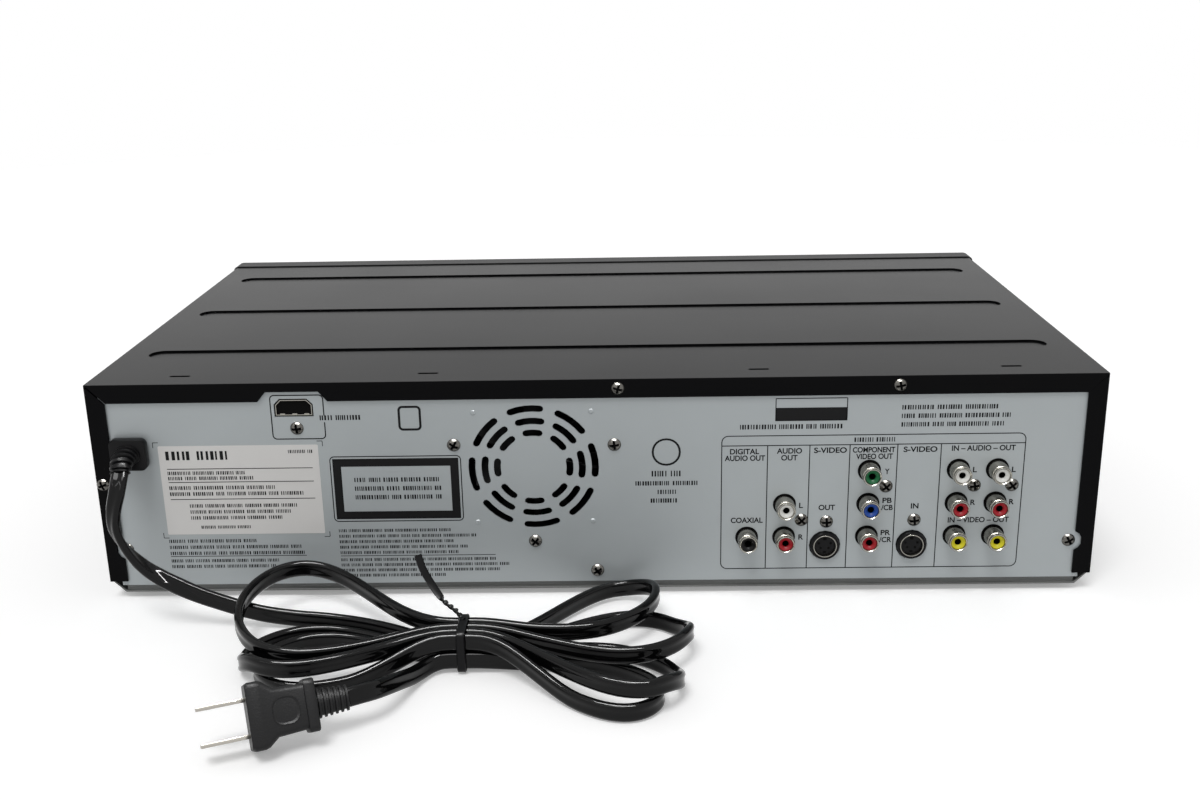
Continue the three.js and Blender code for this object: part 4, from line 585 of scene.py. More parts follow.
def rounded_outline(u_size, v_size, radius, steps=5):
    """The corners of a rounded rectangle about its middle, counter-clockwise."""
    points = []
    for quarter in range(4):
        cu = (u_size / 2 - radius) * (1 if quarter in (0, 3) else -1)
        cv = (v_size / 2 - radius) * (1 if quarter in (0, 1) else -1)
        for i in range(steps + 1):
            a = (quarter + i / steps) * math.pi / 2
            points.append((cu + radius * math.cos(a), cv + radius * math.sin(a)))
    return points


def add_tie():
    bm = bmesh.new()
    band = [Vector((HANK["x"], HANK["y"] + u, (BAND_LOW + BAND_HIGH) / 2 + v))
            for u, v in rounded_outline(2 * BAND_HALF, BAND_HIGH - BAND_LOW, BAND_CORNER)]
    strip = twin_section(STRIP_WIDE, STRIP_THICK, steps=4, groove_degrees=40)
    skin_path(bm, band, [ACROSS] * len(band), strip, closed=True)
    wire = spline(TIE_TAIL, 0.5)
    top = len(wire) - 1
    turned, scales = [], []
    for i in range(top + 1):
        turn = 2 * math.pi * TWIST_TURNS * min(1, i / top / TWISTED_SHARE)
        turned.append(Matrix.Rotation(turn, 3, heading(wire, i)) @ TAIL_WIDE)
        wide = TWISTED_WIDE + FLAT_GAIN * ease((i / top - TWISTED_SHARE + 0.1) / 0.2)
        scales.append((wide, 1.35 - 0.5 * wide))
    skin_path(bm, wire, turned, strip, scales=scales)
    bmesh.ops.recalc_face_normals(bm, faces=bm.faces)
    return piece("twist_tie_detail", bm, [SATIN], replaces=("twist_tie",))


tie = add_tie()

# %% [markdown]
# ## Plug
# A moulded two-blade plug: a ribbed relief, a collar, a waisted grip and a wider face. The body is one cube cut
# across at a few stations and made wider or narrower there, then bevelled, which keeps its long edges clean; a
# sculpted block would not. The blades are bevelled bars, and a near-black peg through each stands for its round
# hole, as painted shade in the opening.

# %% A bar that changes its size along w
def cut_across(part, at, normal):
    everything = [*part.verts, *part.edges, *part.faces]
    bmesh.ops.bisect_plane(part, geom=everything, dist=TOUCH / 10, plane_co=at, plane_no=normal)


def stationed(stations, corner):
    """Stations are height, thickness and width, from the lowest up."""
    low, high = stations[0][0], stations[-1][0]
    part = bar(1, 1, low, high)
    for height, _, _ in stations[1:-1]:
        cut_across(part, (0, 0, height), (0, 0, 1))
    for height, thick, wide in stations:
        level = [v for v in part.verts if abs(v.co.z - height) < TOUCH]
        bmesh.ops.scale(part, vec=(thick, wide, 1), verts=level)
    long_edges = [e for e in part.edges if climb(e) > TOUCH]
    beveled(part, long_edges, corner, 4)
    return part


# %% The raised ring on each side of the grip
def grip_ring(u_size, v_size, low, high, corner=3.6, wall=0.9, sink_share=0.55):
    """A bar with round corners whose top is inset and pushed back down, so a raised ring stays."""
    part = bar(u_size, v_size, low, high, corner=corner)
    top = end_face(part)
    bmesh.ops.inset_individual(part, faces=[top], thickness=wall, use_even_offset=True)
    bmesh.ops.translate(part, vec=(0, 0, (low - high) * sink_share), verts=top.verts)
    return part


# %% The plug
BLADE_GAP, BLADE_START, BLADE_END = 12.7, 35, 52.3
BLADE_WIDE, BLADE_THICK = 6.3, 1.5
HOLE_RADIUS, HOLE_HALF, HOLE_FROM_TIP = 1.25, 0.77, 4.5
RELIEF_ENDS, RELIEF_ROOT, RELIEF_TOP = (0, 6, 12), (9.2, 6.4), (11, 8.2)
COLLAR = (13.4, 19, 11.5, 15.5)
GRIP = [(15, 12, 16.2), (26, 12.4, 17.4), (29.5, 13.6, 23), (31, 14, 24), (34.6, 14, 24), (35.5, 12.8, 22.8)]
RING_AT, RING = 22.5, (9.4, 9.6, 5.7, 6.55)


def add_plug():
    bm = bmesh.new()
    at = along(Vector(TAIL[-1]) + plug_axis * 0.3, plug_axis, up=plug_wide)
    relief = [at @ Vector((0, 0, w)) for w in RELIEF_ENDS]
    ribbed(bm, relief, plug_wide, RELIEF_ROOT, RELIEF_TOP, ribs=6, depth=0.8)
    add_to(bm, bar(*COLLAR, corner=2.2, edge=0.7), at)
    add_to(bm, stationed(GRIP, corner=2), at)
    for side in (-1, 1):
        face = shifted(at, w=RING_AT) @ Matrix.Rotation(math.radians(90 * side), 4, "Y")
        add_to(bm, grip_ring(*RING), face)
        blade = shifted(at, v=side * BLADE_GAP / 2)
        metal = bar(BLADE_WIDE, BLADE_THICK, BLADE_START, BLADE_END, corner=0.3, edge=0.5, corner_steps=2)
        add_to(bm, metal, blade, 1)
        # A near-black peg: painted shade where the blade's hole is.
        hole = shifted(blade, w=BLADE_END - HOLE_FROM_TIP) @ Matrix.Rotation(math.radians(90), 4, "X")
        add_to(bm, spun(peg(HOLE_RADIUS, -HOLE_HALF, HOLE_HALF), 20), hole, 2)
    return piece("mains_plug", bm, [PLUG, BLADE, BLACK_AND_PAINTED_SHADE], replaces=("plug",))


plug = add_plug()

# %% [markdown]
# ## Sockets
# Each phono socket is a nickel sleeve with a rolled lip, a coloured insert that is dished round its bore, and a
# near-black collar in the panel's hole, which is painted shade for the gap there; the bore ends in a near-black
# cup, painted shade too. The round video socket has a black rim, a metal ring and a face with pin holes, which
# are near-black discs of painted shade.
# One socket could be linked to every place, but a housing and its sockets are one piece here, as they are in the
# shop. All the sockets are turned parts, so each is spun from its profile as a closed solid.

# %% Where the sockets sit
REAR_Y = 120.75
TIP_Y = 128.75
BACKSTOP_Y = 118.55
BOARD_TOP = 11.9
ROW_Z, ROW_RISE, SVIDEO_Z = 26.1, 15.15, 21.95
HOUSING_HALF, HOUSING_DEPTH, HEADROOM = 7.4, 14, 7.5


# %% A phono socket
def phono(bm, x, z, insert_slot):
    """The collar's heights are from the panel's face, all others from the tip."""
    at = rear_at(x, TIP_Y, z)
    collar = [(4.95, 0.02), (4.85, 0.2), (4.4, 0.2), (4.4, -1.5), (4.55, -1.5), (4.55, 0.02)]
    sleeve = [(4.1, -10), (4.1, -2.1), (3.95, -1.8), (3.72, -1.7), (3.72, -1.3), (3.92, -1), (3.95, -0.5),
              (3.75, -0.05), (3.45, 0), (3.15, -0.25), (3.02, -0.8), (3.02, -10)]
    insert = [(3.04, -4), (3.04, -1), (2.9, -0.85), (1.65, -1.5), (1.4, -1.9), (1.4, -4)]
    cup = [(0, -7.9), (1.35, -7.9), (1.35, -2.1), (1.5, -2.1), (1.5, -8.3), (0, -8.3)]
    # The collar and the cup take the near-black finish: painted shade in the panel's hole and down the bore.
    add_to(bm, spun(collar, 36, ring=True), rear_at(x, PANEL_Y, z), 2)
    add_to(bm, spun(sleeve, 44, ring=True), at, 1)
    add_to(bm, spun(insert, 44, ring=True), at, insert_slot)
    add_to(bm, spun(cup, 24), at, 2)


# %% A round video socket
VIDEO_Y = 121.35
PIN_PLACES = ((-1.7, -1.3), (1.7, -1.3), (-2.6, 0.9), (2.6, 0.9))
PIN_RADIUS = 0.55


def round_video(bm, x):
    """All heights are from the rim's top."""
    at = rear_at(x, VIDEO_Y, SVIDEO_Z)
    rim = [(6.3, -3.2), (6.3, -0.5), (6.05, 0), (5.25, 0), (5.1, -0.6), (5.1, -3.2)]
    ring = [(5.14, -3), (5.14, -0.15), (5.05, -0.05), (4.72, -0.05), (4.66, -0.3), (4.66, -3)]
    face = [(0, -1.55), (4.4, -1.6), (4.7, -2.2), (4.7, -3.4), (0, -3.4)]
    add_to(bm, spun(rim, 52, ring=True), at, 0)
    add_to(bm, spun(ring, 52, ring=True), at, 1)
    add_to(bm, spun(face, 40), at, 0)
    # The pin holes and the key's two notches are near-black pegs and blocks: painted shade, not cut holes.
    for u, v in PIN_PLACES:
        add_to(bm, spun(peg(PIN_RADIUS, -1.9, -1.5), 12), shifted(at, u, v), 2)
    add_to(bm, bar(1.6, 1.3, -1.8, -1.45), shifted(at, v=3.05), 2)
    add_to(bm, bar(1.4, 0.9, -1.8, -1.45), shifted(at, v=-3.15), 2)


# %% A moulded housing with its sockets
def socket_housing(name, columns):
    """Columns are (x, colours from the lowest socket up), with no colours for the round socket."""
    bm = bmesh.new()
    colours = sorted({colour for _, rows in columns for colour in rows})
    xs = [x for x, _ in columns]
    front, back = BACKSTOP_Y - HOUSING_DEPTH, BACKSTOP_Y
    low_top = ROW_Z + HEADROOM
    block(bm, (min(xs) - HOUSING_HALF, front, BOARD_TOP), (max(xs) + HOUSING_HALF, back, low_top), edge=0.3)
    for x, rows in columns:
        if not rows:
            round_video(bm, x)
        if len(rows) > 1:
            top = low_top + (len(rows) - 1) * ROW_RISE
            block(bm, (x - HOUSING_HALF, front, low_top - 1), (x + HOUSING_HALF, back, top), edge=0.3)
        for row, colour in enumerate(rows):
            phono(bm, x, ROW_Z + row * ROW_RISE, 3 + colours.index(colour))
    materials = [SATIN, NICKEL, BLACK_AND_PAINTED_SHADE, *[INSERTS[colour] for colour in colours]]
    piece(name + "_detail", bm, materials, replaces=(name,))


AV_COLOURS = ("yellow", "red", "white")
socket_housing("av_output_jacks", [(-171.8, AV_COLOURS)])
socket_housing("av_input_jacks", [(-155.2, AV_COLOURS), (-137, ())])
socket_housing("component_jacks", [(-117.4, ("red", "blue", "green"))])
socket_housing("audio_output_jacks", [(-99.5, ()), (-81.6, ("red", "white")), (-65.6, ("black",))])

# %% [markdown]
# ## Digital video socket on its board
# A thin metal shell with two bevelled corners stands in its window in the panel, with a black tongue and gold
# contacts inside. A boolean could hollow the shell, but leaves untidy faces. So the shell is one face of that
# outline, drawn out, then inset by the wall and pushed back in, which leaves a hollow with an even wall. A
# near-black lining inside the shell and a near-black frame round it, just inside the window, are painted shade.

# %% The socket and its board
SOCKET_AT = (127, 119.45, 87.6)
SHELL_WALL, SHELL_HOLLOW, SHELL_DEPTH = 0.32, 7.8, 12.9
BOARD_HIGH, BOARD_THICK, BOARD_REAR = 84.2, 1.6, 115.05
FOOT_LEFT, FOOT_RIGHT, FOOT_DROP = 120, 134, 11
CONTACTS, CONTACT_STEP, FIRST_CONTACT = 9, 1.1, -4.4
# Each chip: its left, front, right and rear, its height and its edge.
CHIPS = [(90, 72, 110, 92, 2.4, 0.3), *[(x, 100, x + 4, 108, 1.8, 0.2) for x in range(70, 115, 9)]]


def video_shell(half_u, half_v, bevel, low, high):
    outline = [(-half_u, -half_v), (half_u, -half_v), (half_u, half_v - bevel), (half_u - bevel, half_v),
               (bevel - half_u, half_v), (-half_u, half_v - bevel)]
    return drawn_out(outline, low, high)


def hollow_shell(part):
    """Insets the mouth by the wall, then pushes it back in."""
    mouth = end_face(part)
    bmesh.ops.inset_individual(part, faces=[mouth], thickness=SHELL_WALL, use_even_offset=True)
    pushed = bmesh.ops.extrude_discrete_faces(part, faces=[mouth])["faces"][0]
    bmesh.ops.translate(part, vec=(0, 0, -SHELL_HOLLOW), verts=pushed.verts)


def add_digital_board():
    bm = bmesh.new()
    low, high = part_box("digital_board")
    top, under = BOARD_HIGH, BOARD_HIGH - BOARD_THICK
    block(bm, (low.x / MM, low.y / MM, under), (high.x / MM, BOARD_REAR, top), slot=1)
    for left, front, right, rear, rise, edge in CHIPS:
        block(bm, (left, front, top), (right, rear, top + rise), edge=edge)
    block(bm, (FOOT_LEFT, 115, under), (FOOT_RIGHT, BACKSTOP_Y, top), slot=1)
    block(bm, (FOOT_LEFT, BACKSTOP_Y - 1.2, under - FOOT_DROP), (FOOT_RIGHT, BACKSTOP_Y, top), slot=2)
    at = rear_at(*SOCKET_AT)
    shell = video_shell(7.75, 3.4, 2.2, -SHELL_DEPTH, 0)
    hollow_shell(shell)
    add_to(bm, shell, at, 2)
    # A near-black lining in the shell's hollow: painted shade inside the socket.
    lining = video_shell(7.42, 3.07, 2.07, 1 - SHELL_DEPTH, -0.5)
    hollow_shell(lining)
    add_to(bm, lining, at, 0)
    # A near-black frame round the shell, just inside the panel's window: painted shade in the gap.
    add_to(bm, video_shell(8.04, 3.69, 2.3, -2.9, -0.6), at, 0)
    add_to(bm, bar(10, 1.2, -8, -1.2, edge=0.2), at, 0)
    for i in range(CONTACTS):
        add_to(bm, bar(0.6, 0.12, -5, -1.3), shifted(at, u=FIRST_CONTACT + CONTACT_STEP * i, v=-0.63), 3)
    for u in (-4.9, 0.3, 5.4):
        add_to(bm, bar(2.1, 0.5, -2.4, -0.05), shifted(at, u=u, v=-2.85), 2)
    materials = [BLACK_AND_PAINTED_SHADE, BOARD, NICKEL, GOLD]
    piece("digital_board_detail", bm, materials, replaces=("digital_board",))


add_digital_board()

# %% [markdown]
# ## Screws
# The panel is held by small pan-head screws with a cross recess, in dark nickel, and each one stops at its own
# angle. The head is spun from a dome's profile, and the cross is pressed into the dome by lowering the points
# that lie under the driver's arms, which gives its soft edges without a boolean cut. The recess's faces are
# near black: painted shade in the cross.

# %% A pan-head screw
DOME_RINGS, DOME_POWER, SHANK = 14, 2.6, 0.6
ARM_SHARE, REACH_SHARE, RECESS_SHARE = 0.15, 0.64, 0.2


def cross_screw(bm, place, radius, rise, turn):
    dome = []
    for i in range(DOME_RINGS):
        r = radius * (1 - i / DOME_RINGS)
        dome.append((r, rise * (1 - (r / radius) ** DOME_POWER)))
    part = spun([(0, -SHANK), (radius, -SHANK), *dome, (0, rise)], 64)
    cross = {v for v in part.verts if min(abs(v.co.x), abs(v.co.y)) < radius * ARM_SHARE and v.co.z > 0
             and max(abs(v.co.x), abs(v.co.y)) < radius * REACH_SHARE}
    for vert in cross:
        vert.co.z = min(vert.co.z, rise * RECESS_SHARE)
    # Faces that touch the recess take the near-black finish: painted shade in the cross.
    for face in part.faces:
        face.material_index = 1 if cross.intersection(face.verts) else 0
    add_to(bm, part, place @ Matrix.Rotation(turn, 4, "Z"), slot=None)


# %% The panel's and the cover's screws
PANEL_SCREWS = [(-204.7, 23.3), (205.8, 23.1), (59.8, 70), (-8.7, 69.4), (26.3, 25.3), (-0.6, 11.1), (126.3, 78.4),
                (-89.1, 33.9), (-99.9, 33), (-124.8, 49.1), (-137.6, 33.4), (-162.4, 49.1), (-178.5, 49.1)]
FLANGE_SCREWS = [(-10.5, 94.7), (-128.6, 94.7), (212.3, 53.9)]
HEAD_RISE = 1.5


def add_screws(name, places, y, radius, turns):
    bm = bmesh.new()
    for x, z in places:
        cross_screw(bm, rear_at(x, y, z), radius, HEAD_RISE, turns.uniform(0, math.pi / 2))
    piece(name, bm, [SCREW, BLACK_AND_PAINTED_SHADE])


screw_turns = random.Random(7)
add_screws("panel_screws", PANEL_SCREWS, PANEL_Y, 2.9, screw_turns)
add_screws("flange_screws", FLANGE_SCREWS, REAR_Y, 2.8, screw_turns)

# %% [markdown]
# ## Print on the panel
# The panel is printed in dark ink: frames round the sockets, the sockets' plain function words and letters, and
# blocks of small text. A picture could carry it, but flat shapes a hair above the steel stay sharp at any size.
# Names, numbers and notices are not drawn: their places hold rows of plain ticks that only look like small print.

# %% Flat printed shapes
PRINT_RISE = 0.03


def sheet(wide, tall):
    part = bmesh.new()
    bmesh.ops.create_grid(part, x_segments=1, y_segments=1, size=0.5)
    part.transform(Matrix.Diagonal((wide, tall, 1, 1)))
    return part


def lay(bm, part, x_left, x_right, z_low, z_high, y=PANEL_Y, slot=0):
    """Lays a flat part on the panel, facing out, in the middle of a rectangle."""
    for face in part.faces:
        face.material_index = slot
        if face.normal.z < 0:
            face.normal_flip()
    part.transform(rear_at((x_left + x_right) / 2, y + PRINT_RISE, (z_low + z_high) / 2))
    pour(bm, part)


def flat(bm, x_left, x_right, z_low, z_high, y=PANEL_Y, slot=0):
    """A printed rectangle; x falls from the picture's left to its right."""
    lay(bm, sheet(x_left - x_right, z_high - z_low), x_left, x_right, z_low, z_high, y, slot)


def frame_line(bm, x_left, x_right, z_low, z_high, corner, width, gap=None):
    """A printed line round a rectangle: a face, its corners rounded, inset, with its inside taken out.
    A gap, from one share of its height to another, opens its right side."""
    part = sheet(x_left - x_right, z_high - z_low)
    if corner:
        beveled(part, part.verts[:], corner, 6, "VERTICES")
    inside = part.faces[:]
    bmesh.ops.inset_individual(part, faces=inside, thickness=width, use_even_offset=True)
    bmesh.ops.delete(part, geom=inside, context="FACES")
    if gap:
        low, high = (share * (z_high - z_low) / 2 for share in gap)
        for level in (low, high):
            cut_across(part, (0, level, 0), (0, 1, 0))
        cut = [f for f in part.faces if f.calc_center_median().x > 0 and low < f.calc_center_median().y < high]
        bmesh.ops.delete(part, geom=cut, context="FACES")
    lay(bm, part, x_left, x_right, z_low, z_high)


# %% Rows of ticks that stand for small print
TICKS = random.Random(3)
TICK_SHARES, SPACE_SHARES, WORD_SPACE_SHARE = (0.2, 0.26, 0.36), (0.16, 0.22, 0.3), 0.5
TICKS_IN_WORD = (5, 15)


def tick_row(bm, x_left, x_right, z, height, y, slot):
    """Thin upright ticks of one height, in groups as long as words."""
    x = x_left
    while x - x_right > height:
        for _ in range(TICKS.randint(*TICKS_IN_WORD)):
            width = height * TICKS.choice(TICK_SHARES)
            if x - width < x_right:
                break
            flat(bm, x, x - width, z - height / 2, z + height / 2, y, slot)
            x -= width + height * TICKS.choice(SPACE_SHARES)
        x -= height * WORD_SPACE_SHARE


def tick_block(bm, x_left, rights, z_top, drop, height, y=PANEL_Y, slot=0):
    for i, x_right in enumerate(rights):
        tick_row(bm, x_left, x_right, z_top - i * drop, height, y, slot)


# %% Function words beside the sockets
WORD_SIZE = 3.35
WORD_WEIGHT = 0.09
WORDS = [
    ("DIGITAL", -57.9, -70.3, 65.6), ("AUDIO OUT", -55.7, -72.9, 62.6), ("AUDIO", -77.8, -88.5, 65.7),
    ("OUT", -79.7, -86.7, 62.6), ("S-VIDEO", -93.6, -107.5, 65.8), ("COMPONENT", -110, -128, 65.8),
    ("VIDEO OUT", -111.5, -127.1, 62.8), ("S-VIDEO", -131.5, -145.8, 65.8), ("COAXIAL", -58.6, -72.4, 34),
    ("IN \u2013 AUDIO \u2013 OUT", -151.9, -178.8, 66.1), ("IN \u2013 VIDEO \u2013 OUT", -152.1, -178.3, 33.2),
    ("OUT", -96.3, -103.4, 39.6), ("IN", -135.9, -139.2, 39.9), ("L", -87.9, -89.6, 40.7),
    ("R", -88, -90.1, 25.9), ("Y", -124, -126, 55.9), ("PB", -123.6, -127.6, 42.6), ("/CB", -123.2, -128.2, 39.3),
    ("PR", -123.5, -127.7, 27.6), ("/CR", -123, -128.3, 24.3), ("L", -161.4, -163.1, 56.3),
    ("R", -161.3, -163.4, 41.3), ("L", -177.9, -179.6, 56.2), ("R", -177.8, -179.9, 41.4),
]


def word_mesh(text):
    """The built-in font's letters as a flat mesh."""
    data = bpy.data.curves.new("word", "FONT")
    data.body = text
    data.size = WORD_SIZE
    data.offset = WORD_WEIGHT
    data.align_x = "CENTER"
    data.align_y = "CENTER"
    data.fill_mode = "FRONT"
    loose = placed("word", data)
    shown = bpy.context.evaluated_depsgraph_get()
    mesh = bpy.data.meshes.new_from_object(loose.evaluated_get(shown))
    part = bmesh.new()
    part.from_mesh(mesh)
    bpy.data.objects.remove(loose)
    bpy.data.meshes.remove(mesh)
    return part


def add_words():
    bm = bmesh.new()
    for text, x_left, x_right, z in WORDS:
        part = word_mesh(text)
        us = [v.co.x for v in part.verts]
        vs = [v.co.y for v in part.verts]
        fit = (x_left - x_right) / (max(us) - min(us))
        centre = Matrix.Translation((-(max(us) + min(us)) / 2, -(max(vs) + min(vs)) / 2, 0))
        part.transform(Matrix.Diagonal((fit, 1, 1, 1)) @ centre)
        lay(bm, part, x_left, x_right, z, z)
    piece("socket_words", bm, [INK])


add_words()

# %% Frames, dividers and blocks of small print
BOX_LEFT, BOX_RIGHT, BOX_LOW, BOX_HIGH, BOX_HEAD = -54.2, -183, 11, 72.8, 68.2
DIVIDERS = (-73.9, -91.8, -108.8, -129, -147.4)
LINE = 0.42
# Left, right, low and high; frames have their corner radius and line width as well.
FRAMES = [
    (BOX_LEFT, BOX_RIGHT, BOX_LOW, BOX_HIGH, 3, LINE), (82.9, 73, 76.8, 87.9, 2, 1),
    (-76.8, -107.2, 79.1, 89.3, 0.4, 0.4), (113.6, 57, 35.2, 65.5, 2, 0.45), (112.4, 58.2, 36.4, 64.3, 0, 3.6),
    (-24.6, -37, 59.6, 72, 6, 0.9),
]
SOCKET_FRAME, SOCKET_FRAME_GAP = (137, 114, 73.4, 93.4, 2, 0.5), (-0.24, 0.06)
FLATS = [
    (BOX_LEFT, BOX_RIGHT, BOX_HEAD - LINE / 2, BOX_HEAD + LINE / 2), (-76.8, -107.2, 79.1, 85),
    (112, 44, 18.9, 19.2), (187, 127, 19.4, 19.7),
]
# Left, right end of each row, height of the first row, drop from row to row and height of the ticks.
SMALL_PRINT = [
    (-110.5, (-128,), 70.4, 0, 2), (116.2, (98.6,), 83, 0, 2.2), (-62, (-106,), 76.6, 0, 2.1),
    (-130, (-171, -176, -174), 84.6, 3.8, 2), (112, (61, 52, 62, 54, 58), 31, 2.6, 1.4),
    (112, (44, 38, 42, 66), 17.2, 2.5, 1.4), (187, (146, 128, 127), 26.8, 2.9, 1.6),
    (187, (139, 141), 17.4, 2.7, 1.5), (103.5, (66, 66, 66), 54.6, 4, 2), (-24.5, (-37.5,), 56, 0, 2.6),
    (-17.5, (-45,), 51.6, 0, 2), (-27, (-35,), 47.6, 0, 2), (-24, (-38,), 43.6, 0, 2),
]


def add_prints():
    bm = bmesh.new()
    for sides in FRAMES:
        frame_line(bm, *sides)
    frame_line(bm, *SOCKET_FRAME, gap=SOCKET_FRAME_GAP)
    for sides in FLATS:
        flat(bm, *sides)
    for x in DIVIDERS:
        flat(bm, x + LINE / 2, x - LINE / 2, BOX_LOW, BOX_HEAD)
    for rows in SMALL_PRINT:
        tick_block(bm, *rows)
    piece("printed_lines", bm, [INK])


add_prints()

# %% [markdown]
# ## Label
# A pale paper label is stuck low at the left, between printed corner marks. It could be printed like the rest, but
# real paper has a thickness that shows at its edge, so it is a thin bar with round corners. It stays generic:
# three ruled lines and rows of ticks.

# %% The label
LABEL_U, LABEL_V = (187, 118), (30, 71)
LABEL_BACK, LABEL_FACE = 0.01, 0.12
MARK_X, MARK_Z, MARK_LENGTH, MARK_LINE = (189, 116), (72.6, 28.4), 2.4, 0.3
RULES, RULE_LINE = (60.5, 54.4, 46.5), 0.34
LABEL_PRINT = [
    (184, (156,), 66.6, 0, 4), (131, (120,), 68, 0, 1.5), (184, (150, 146), 58.6, 2.4, 1.6),
    (184, (138, 126), 51.8, 2.8, 1.7), (176, (128, 132, 136), 43.4, 2.8, 1.6), (172, (150,), 33.4, 0, 1.4),
]


def add_label():
    bm = bmesh.new()
    wide, tall = LABEL_U[0] - LABEL_U[1], LABEL_V[1] - LABEL_V[0]
    paper = bar(wide, tall, LABEL_BACK, LABEL_FACE, corner=0.6)
    add_to(bm, paper, rear_at(sum(LABEL_U) / 2, PANEL_Y, sum(LABEL_V) / 2))
    printed = {"y": PANEL_Y + LABEL_FACE, "slot": 1}
    for x, side in zip(MARK_X, (-1, 1)):
        for z, drop in zip(MARK_Z, (-1, 1)):
            ends = sorted((x, x + side * MARK_LENGTH), reverse=True)
            flat(bm, *ends, z - MARK_LINE / 2, z + MARK_LINE / 2, slot=1)
            flat(bm, x + MARK_LINE / 2, x - MARK_LINE / 2, *sorted((z, z + drop * MARK_LENGTH)), slot=1)
    for z in RULES:
        flat(bm, 184, 121, z - RULE_LINE / 2, z + RULE_LINE / 2, **printed)
    for rows in LABEL_PRINT:
        tick_block(bm, *rows, **printed)
    piece("rating_label", bm, [PAPER, INK])


add_label()

# %% [markdown]
# ## The solids that stay
# The case, the machines inside and the fan are already right in shape. They only need their finish, and edges
# that are a little round, because no real edge is perfectly sharp and a round one catches a line of light. The
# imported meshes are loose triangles, so they are welded by a modifier before the bevel.

# %% Finish and edge rounding in millimetres for each solid
EDGE_ANGLE = 35
FINISHES = [
    (COVER, 0.45, "top_cover"), (PANEL, 0.1, "rear_panel"), (PAN_STEEL_AND_PAINTED_SHADE, 0.3, "bottom_chassis"),
    (GLASS, 0.2, "display_window"), (NICKEL, 0.15, "front_av_jacks"),
    (BOARD, 0, "front_board main_board power_board"),
    (ZINC, 0.2, "cassette_frame cassette_carriage cassette_holder deck_plate pinch_arm clamp_bridge"),
    (ALLOY, 0.4, "drum_base"), (ALLOY, 0.2, "pickup"), (STEEL, 0.3, "head_drum"), (STEEL, 0.2, "capstan"),
    (STEEL, 0.4, "control_head erase_head"), (WHITE, 0.1, "tray_gear"),
    (WHITE, 0.3, "supply_reel takeup_reel clutch_pulley turntable disc_clamp"),
    (RUBBER, 0.2, "drive_belt"), (RUBBER, 0.3, "pinch_roller"),
    (RUBBER, 0.3, "foot_front_left foot_front_right foot_rear_left foot_rear_right"),
    (MOULDED, 0.4, "front_bezel disc_tray"), (MOULDED, 0.2, "traverse"),
    (MOULDED, 0.3, "cassette_door supply_guide takeup_guide drive_chassis tray_lid"),
    (SATIN, 0.3, "fan_frame power_button eject_button rewind_button play_button"),
    (SATIN, 0.3, "forward_button stop_button open_close_button"), (SATIN, 0.2, "fan_rotor"),
]


def round_edges(item, width):
    merge = item.modifiers.new("weld", "WELD")
    merge.merge_threshold = MM / 100
    soft = item.modifiers.new("rounded edges", "BEVEL")
    soft.width = width * MM
    soft.segments = 2
    soft.limit_method = "ANGLE"
    soft.angle_limit = math.radians(EDGE_ANGLE)
    soft.harden_normals = False


for material, rounding, names in FINISHES:
    for name in names.split():
        item = nodes[name]
        item.data.materials.clear()
        item.data.materials.append(material)
        if rounding:
            round_edges(item, rounding)
print("solids with a finish:", sum(len(names.split()) for _, _, names in FINISHES))

# %% [markdown]
# ## Studio
# The deck stands on a pale floor in soft light. A huge floor shows its horizon, so this one is a small disc, and
# the world shows white beyond it, to the camera and in reflections. The light itself is a dim world and a wide
# sun for soft shadows. Two strip lamps draw bright lines on the cord and the nickel; they are left out of the
# diffuse light, so the level stays plain.

# %% Floor, world and lamps
FLOOR_RADIUS, FLOOR_DROP = 1.6, 0.2
FLOOR_GLOW = 0.25
WORLD_LIGHT = 0.5
SUN = {"strength": 1.25, "angle": 24, "turn": (24, 10, 0)}
# Name, place, size in metres and power.
STRIPS = (("strip_above", (0.15, 0.45, 1.5), (1.5, 0.12), 60), ("strip_side", (0.95, 0.9, 0.9), (0.9, 0.03), 1))
STRIPS_AIM = Vector((0, 0.1, 0))


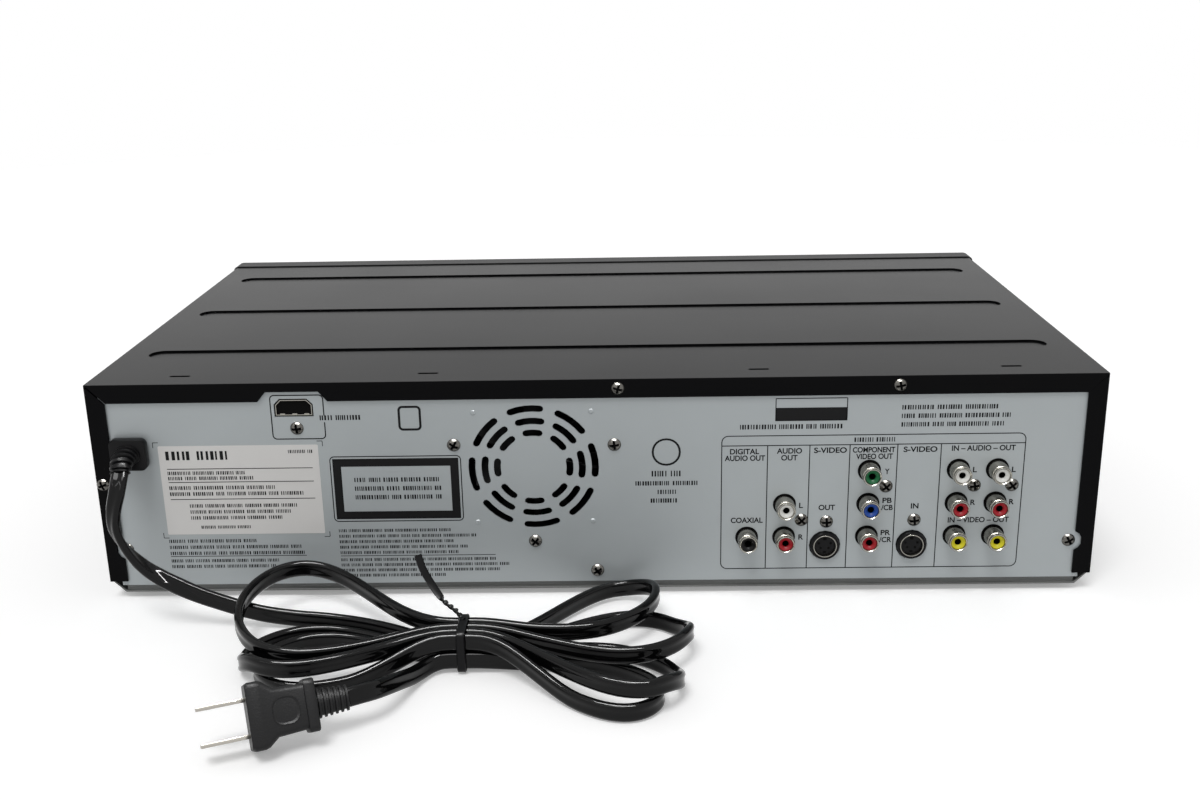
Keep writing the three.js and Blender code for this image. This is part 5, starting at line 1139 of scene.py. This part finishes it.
def mix_by_ray(tree, plain, seen, output):
    """Seen for rays from the camera, from gloss and through glass; plain for the light on the surfaces."""
    rays, link = add_node(tree, "LightPath"), tree.links.new
    total = rays.outputs["Is Camera Ray"]
    for kind in ("Is Glossy Ray", "Is Transmission Ray"):
        either = add_node(tree, "Math")
        either.operation = "MAXIMUM"
        link(total, either.inputs[0])
        link(rays.outputs[kind], either.inputs[1])
        total = either.outputs[0]
    mix = add_node(tree, "MixShader")
    link(total, mix.inputs["Fac"])
    link(plain.outputs[0], mix.inputs[1])
    link(seen.outputs[0], mix.inputs[2])
    link(mix.outputs[0], tree.nodes[output].inputs["Surface"])


def white_floor():
    """White paint that keeps the shadow; where it is seen it glows a little, to end as white as the world."""
    made = finish("floor_white", (0.93, 0.93, 0.93), 0.7, specular=0.1)
    tree = made.node_tree
    paint, both = tree.nodes["Principled BSDF"], add_node(tree, "AddShader")
    tree.links.new(paint.outputs[0], both.inputs[0])
    tree.links.new(add_node(tree, "Emission", {"Strength": FLOOR_GLOW}).outputs[0], both.inputs[1])
    mix_by_ray(tree, paint, both, "Material Output")
    return made


def add_floor():
    bm = bmesh.new()
    bmesh.ops.create_circle(bm, cap_ends=True, segments=96, radius=FLOOR_RADIUS)
    mesh = bpy.data.meshes.new("floor")
    bm.to_mesh(mesh)
    bm.free()
    mesh.materials.append(white_floor())
    floor = placed("floor", mesh)
    floor.location.z = -FLOOR_DROP * MM


def add_world():
    world = bpy.data.worlds.new("studio")
    world.use_nodes = True
    tree = world.node_tree
    light = tree.nodes["Background"]
    set_values(light, {"Color": (1, 1, 1, 1), "Strength": WORLD_LIGHT})
    seen = add_node(tree, "Background", {"Color": (1, 1, 1, 1), "Strength": 1})
    mix_by_ray(tree, light, seen, "World Output")
    bpy.context.scene.world = world


def add_lamp(name, kind, settings):
    data = bpy.data.lights.new(name, kind)
    for key, value in settings.items():
        setattr(data, key, value)
    return placed(name, data)


def add_lamps():
    sun = add_lamp("sun", "SUN", {"energy": SUN["strength"], "angle": math.radians(SUN["angle"])})
    sun.rotation_euler = [math.radians(a) * side for a, side in zip(SUN["turn"], (-1, 1, 1))]
    for name, at, (length, width), power in STRIPS:
        strip = add_lamp(name, "AREA", {"shape": "RECTANGLE", "size": length, "size_y": width, "energy": power})
        strip.visible_diffuse = False
        strip.location = at
        strip.rotation_euler = (STRIPS_AIM - Vector(at)).to_track_quat("-Z", "Y").to_euler()


add_floor()
add_world()
add_lamps()
bpy.context.scene.view_settings.view_transform = "Standard"
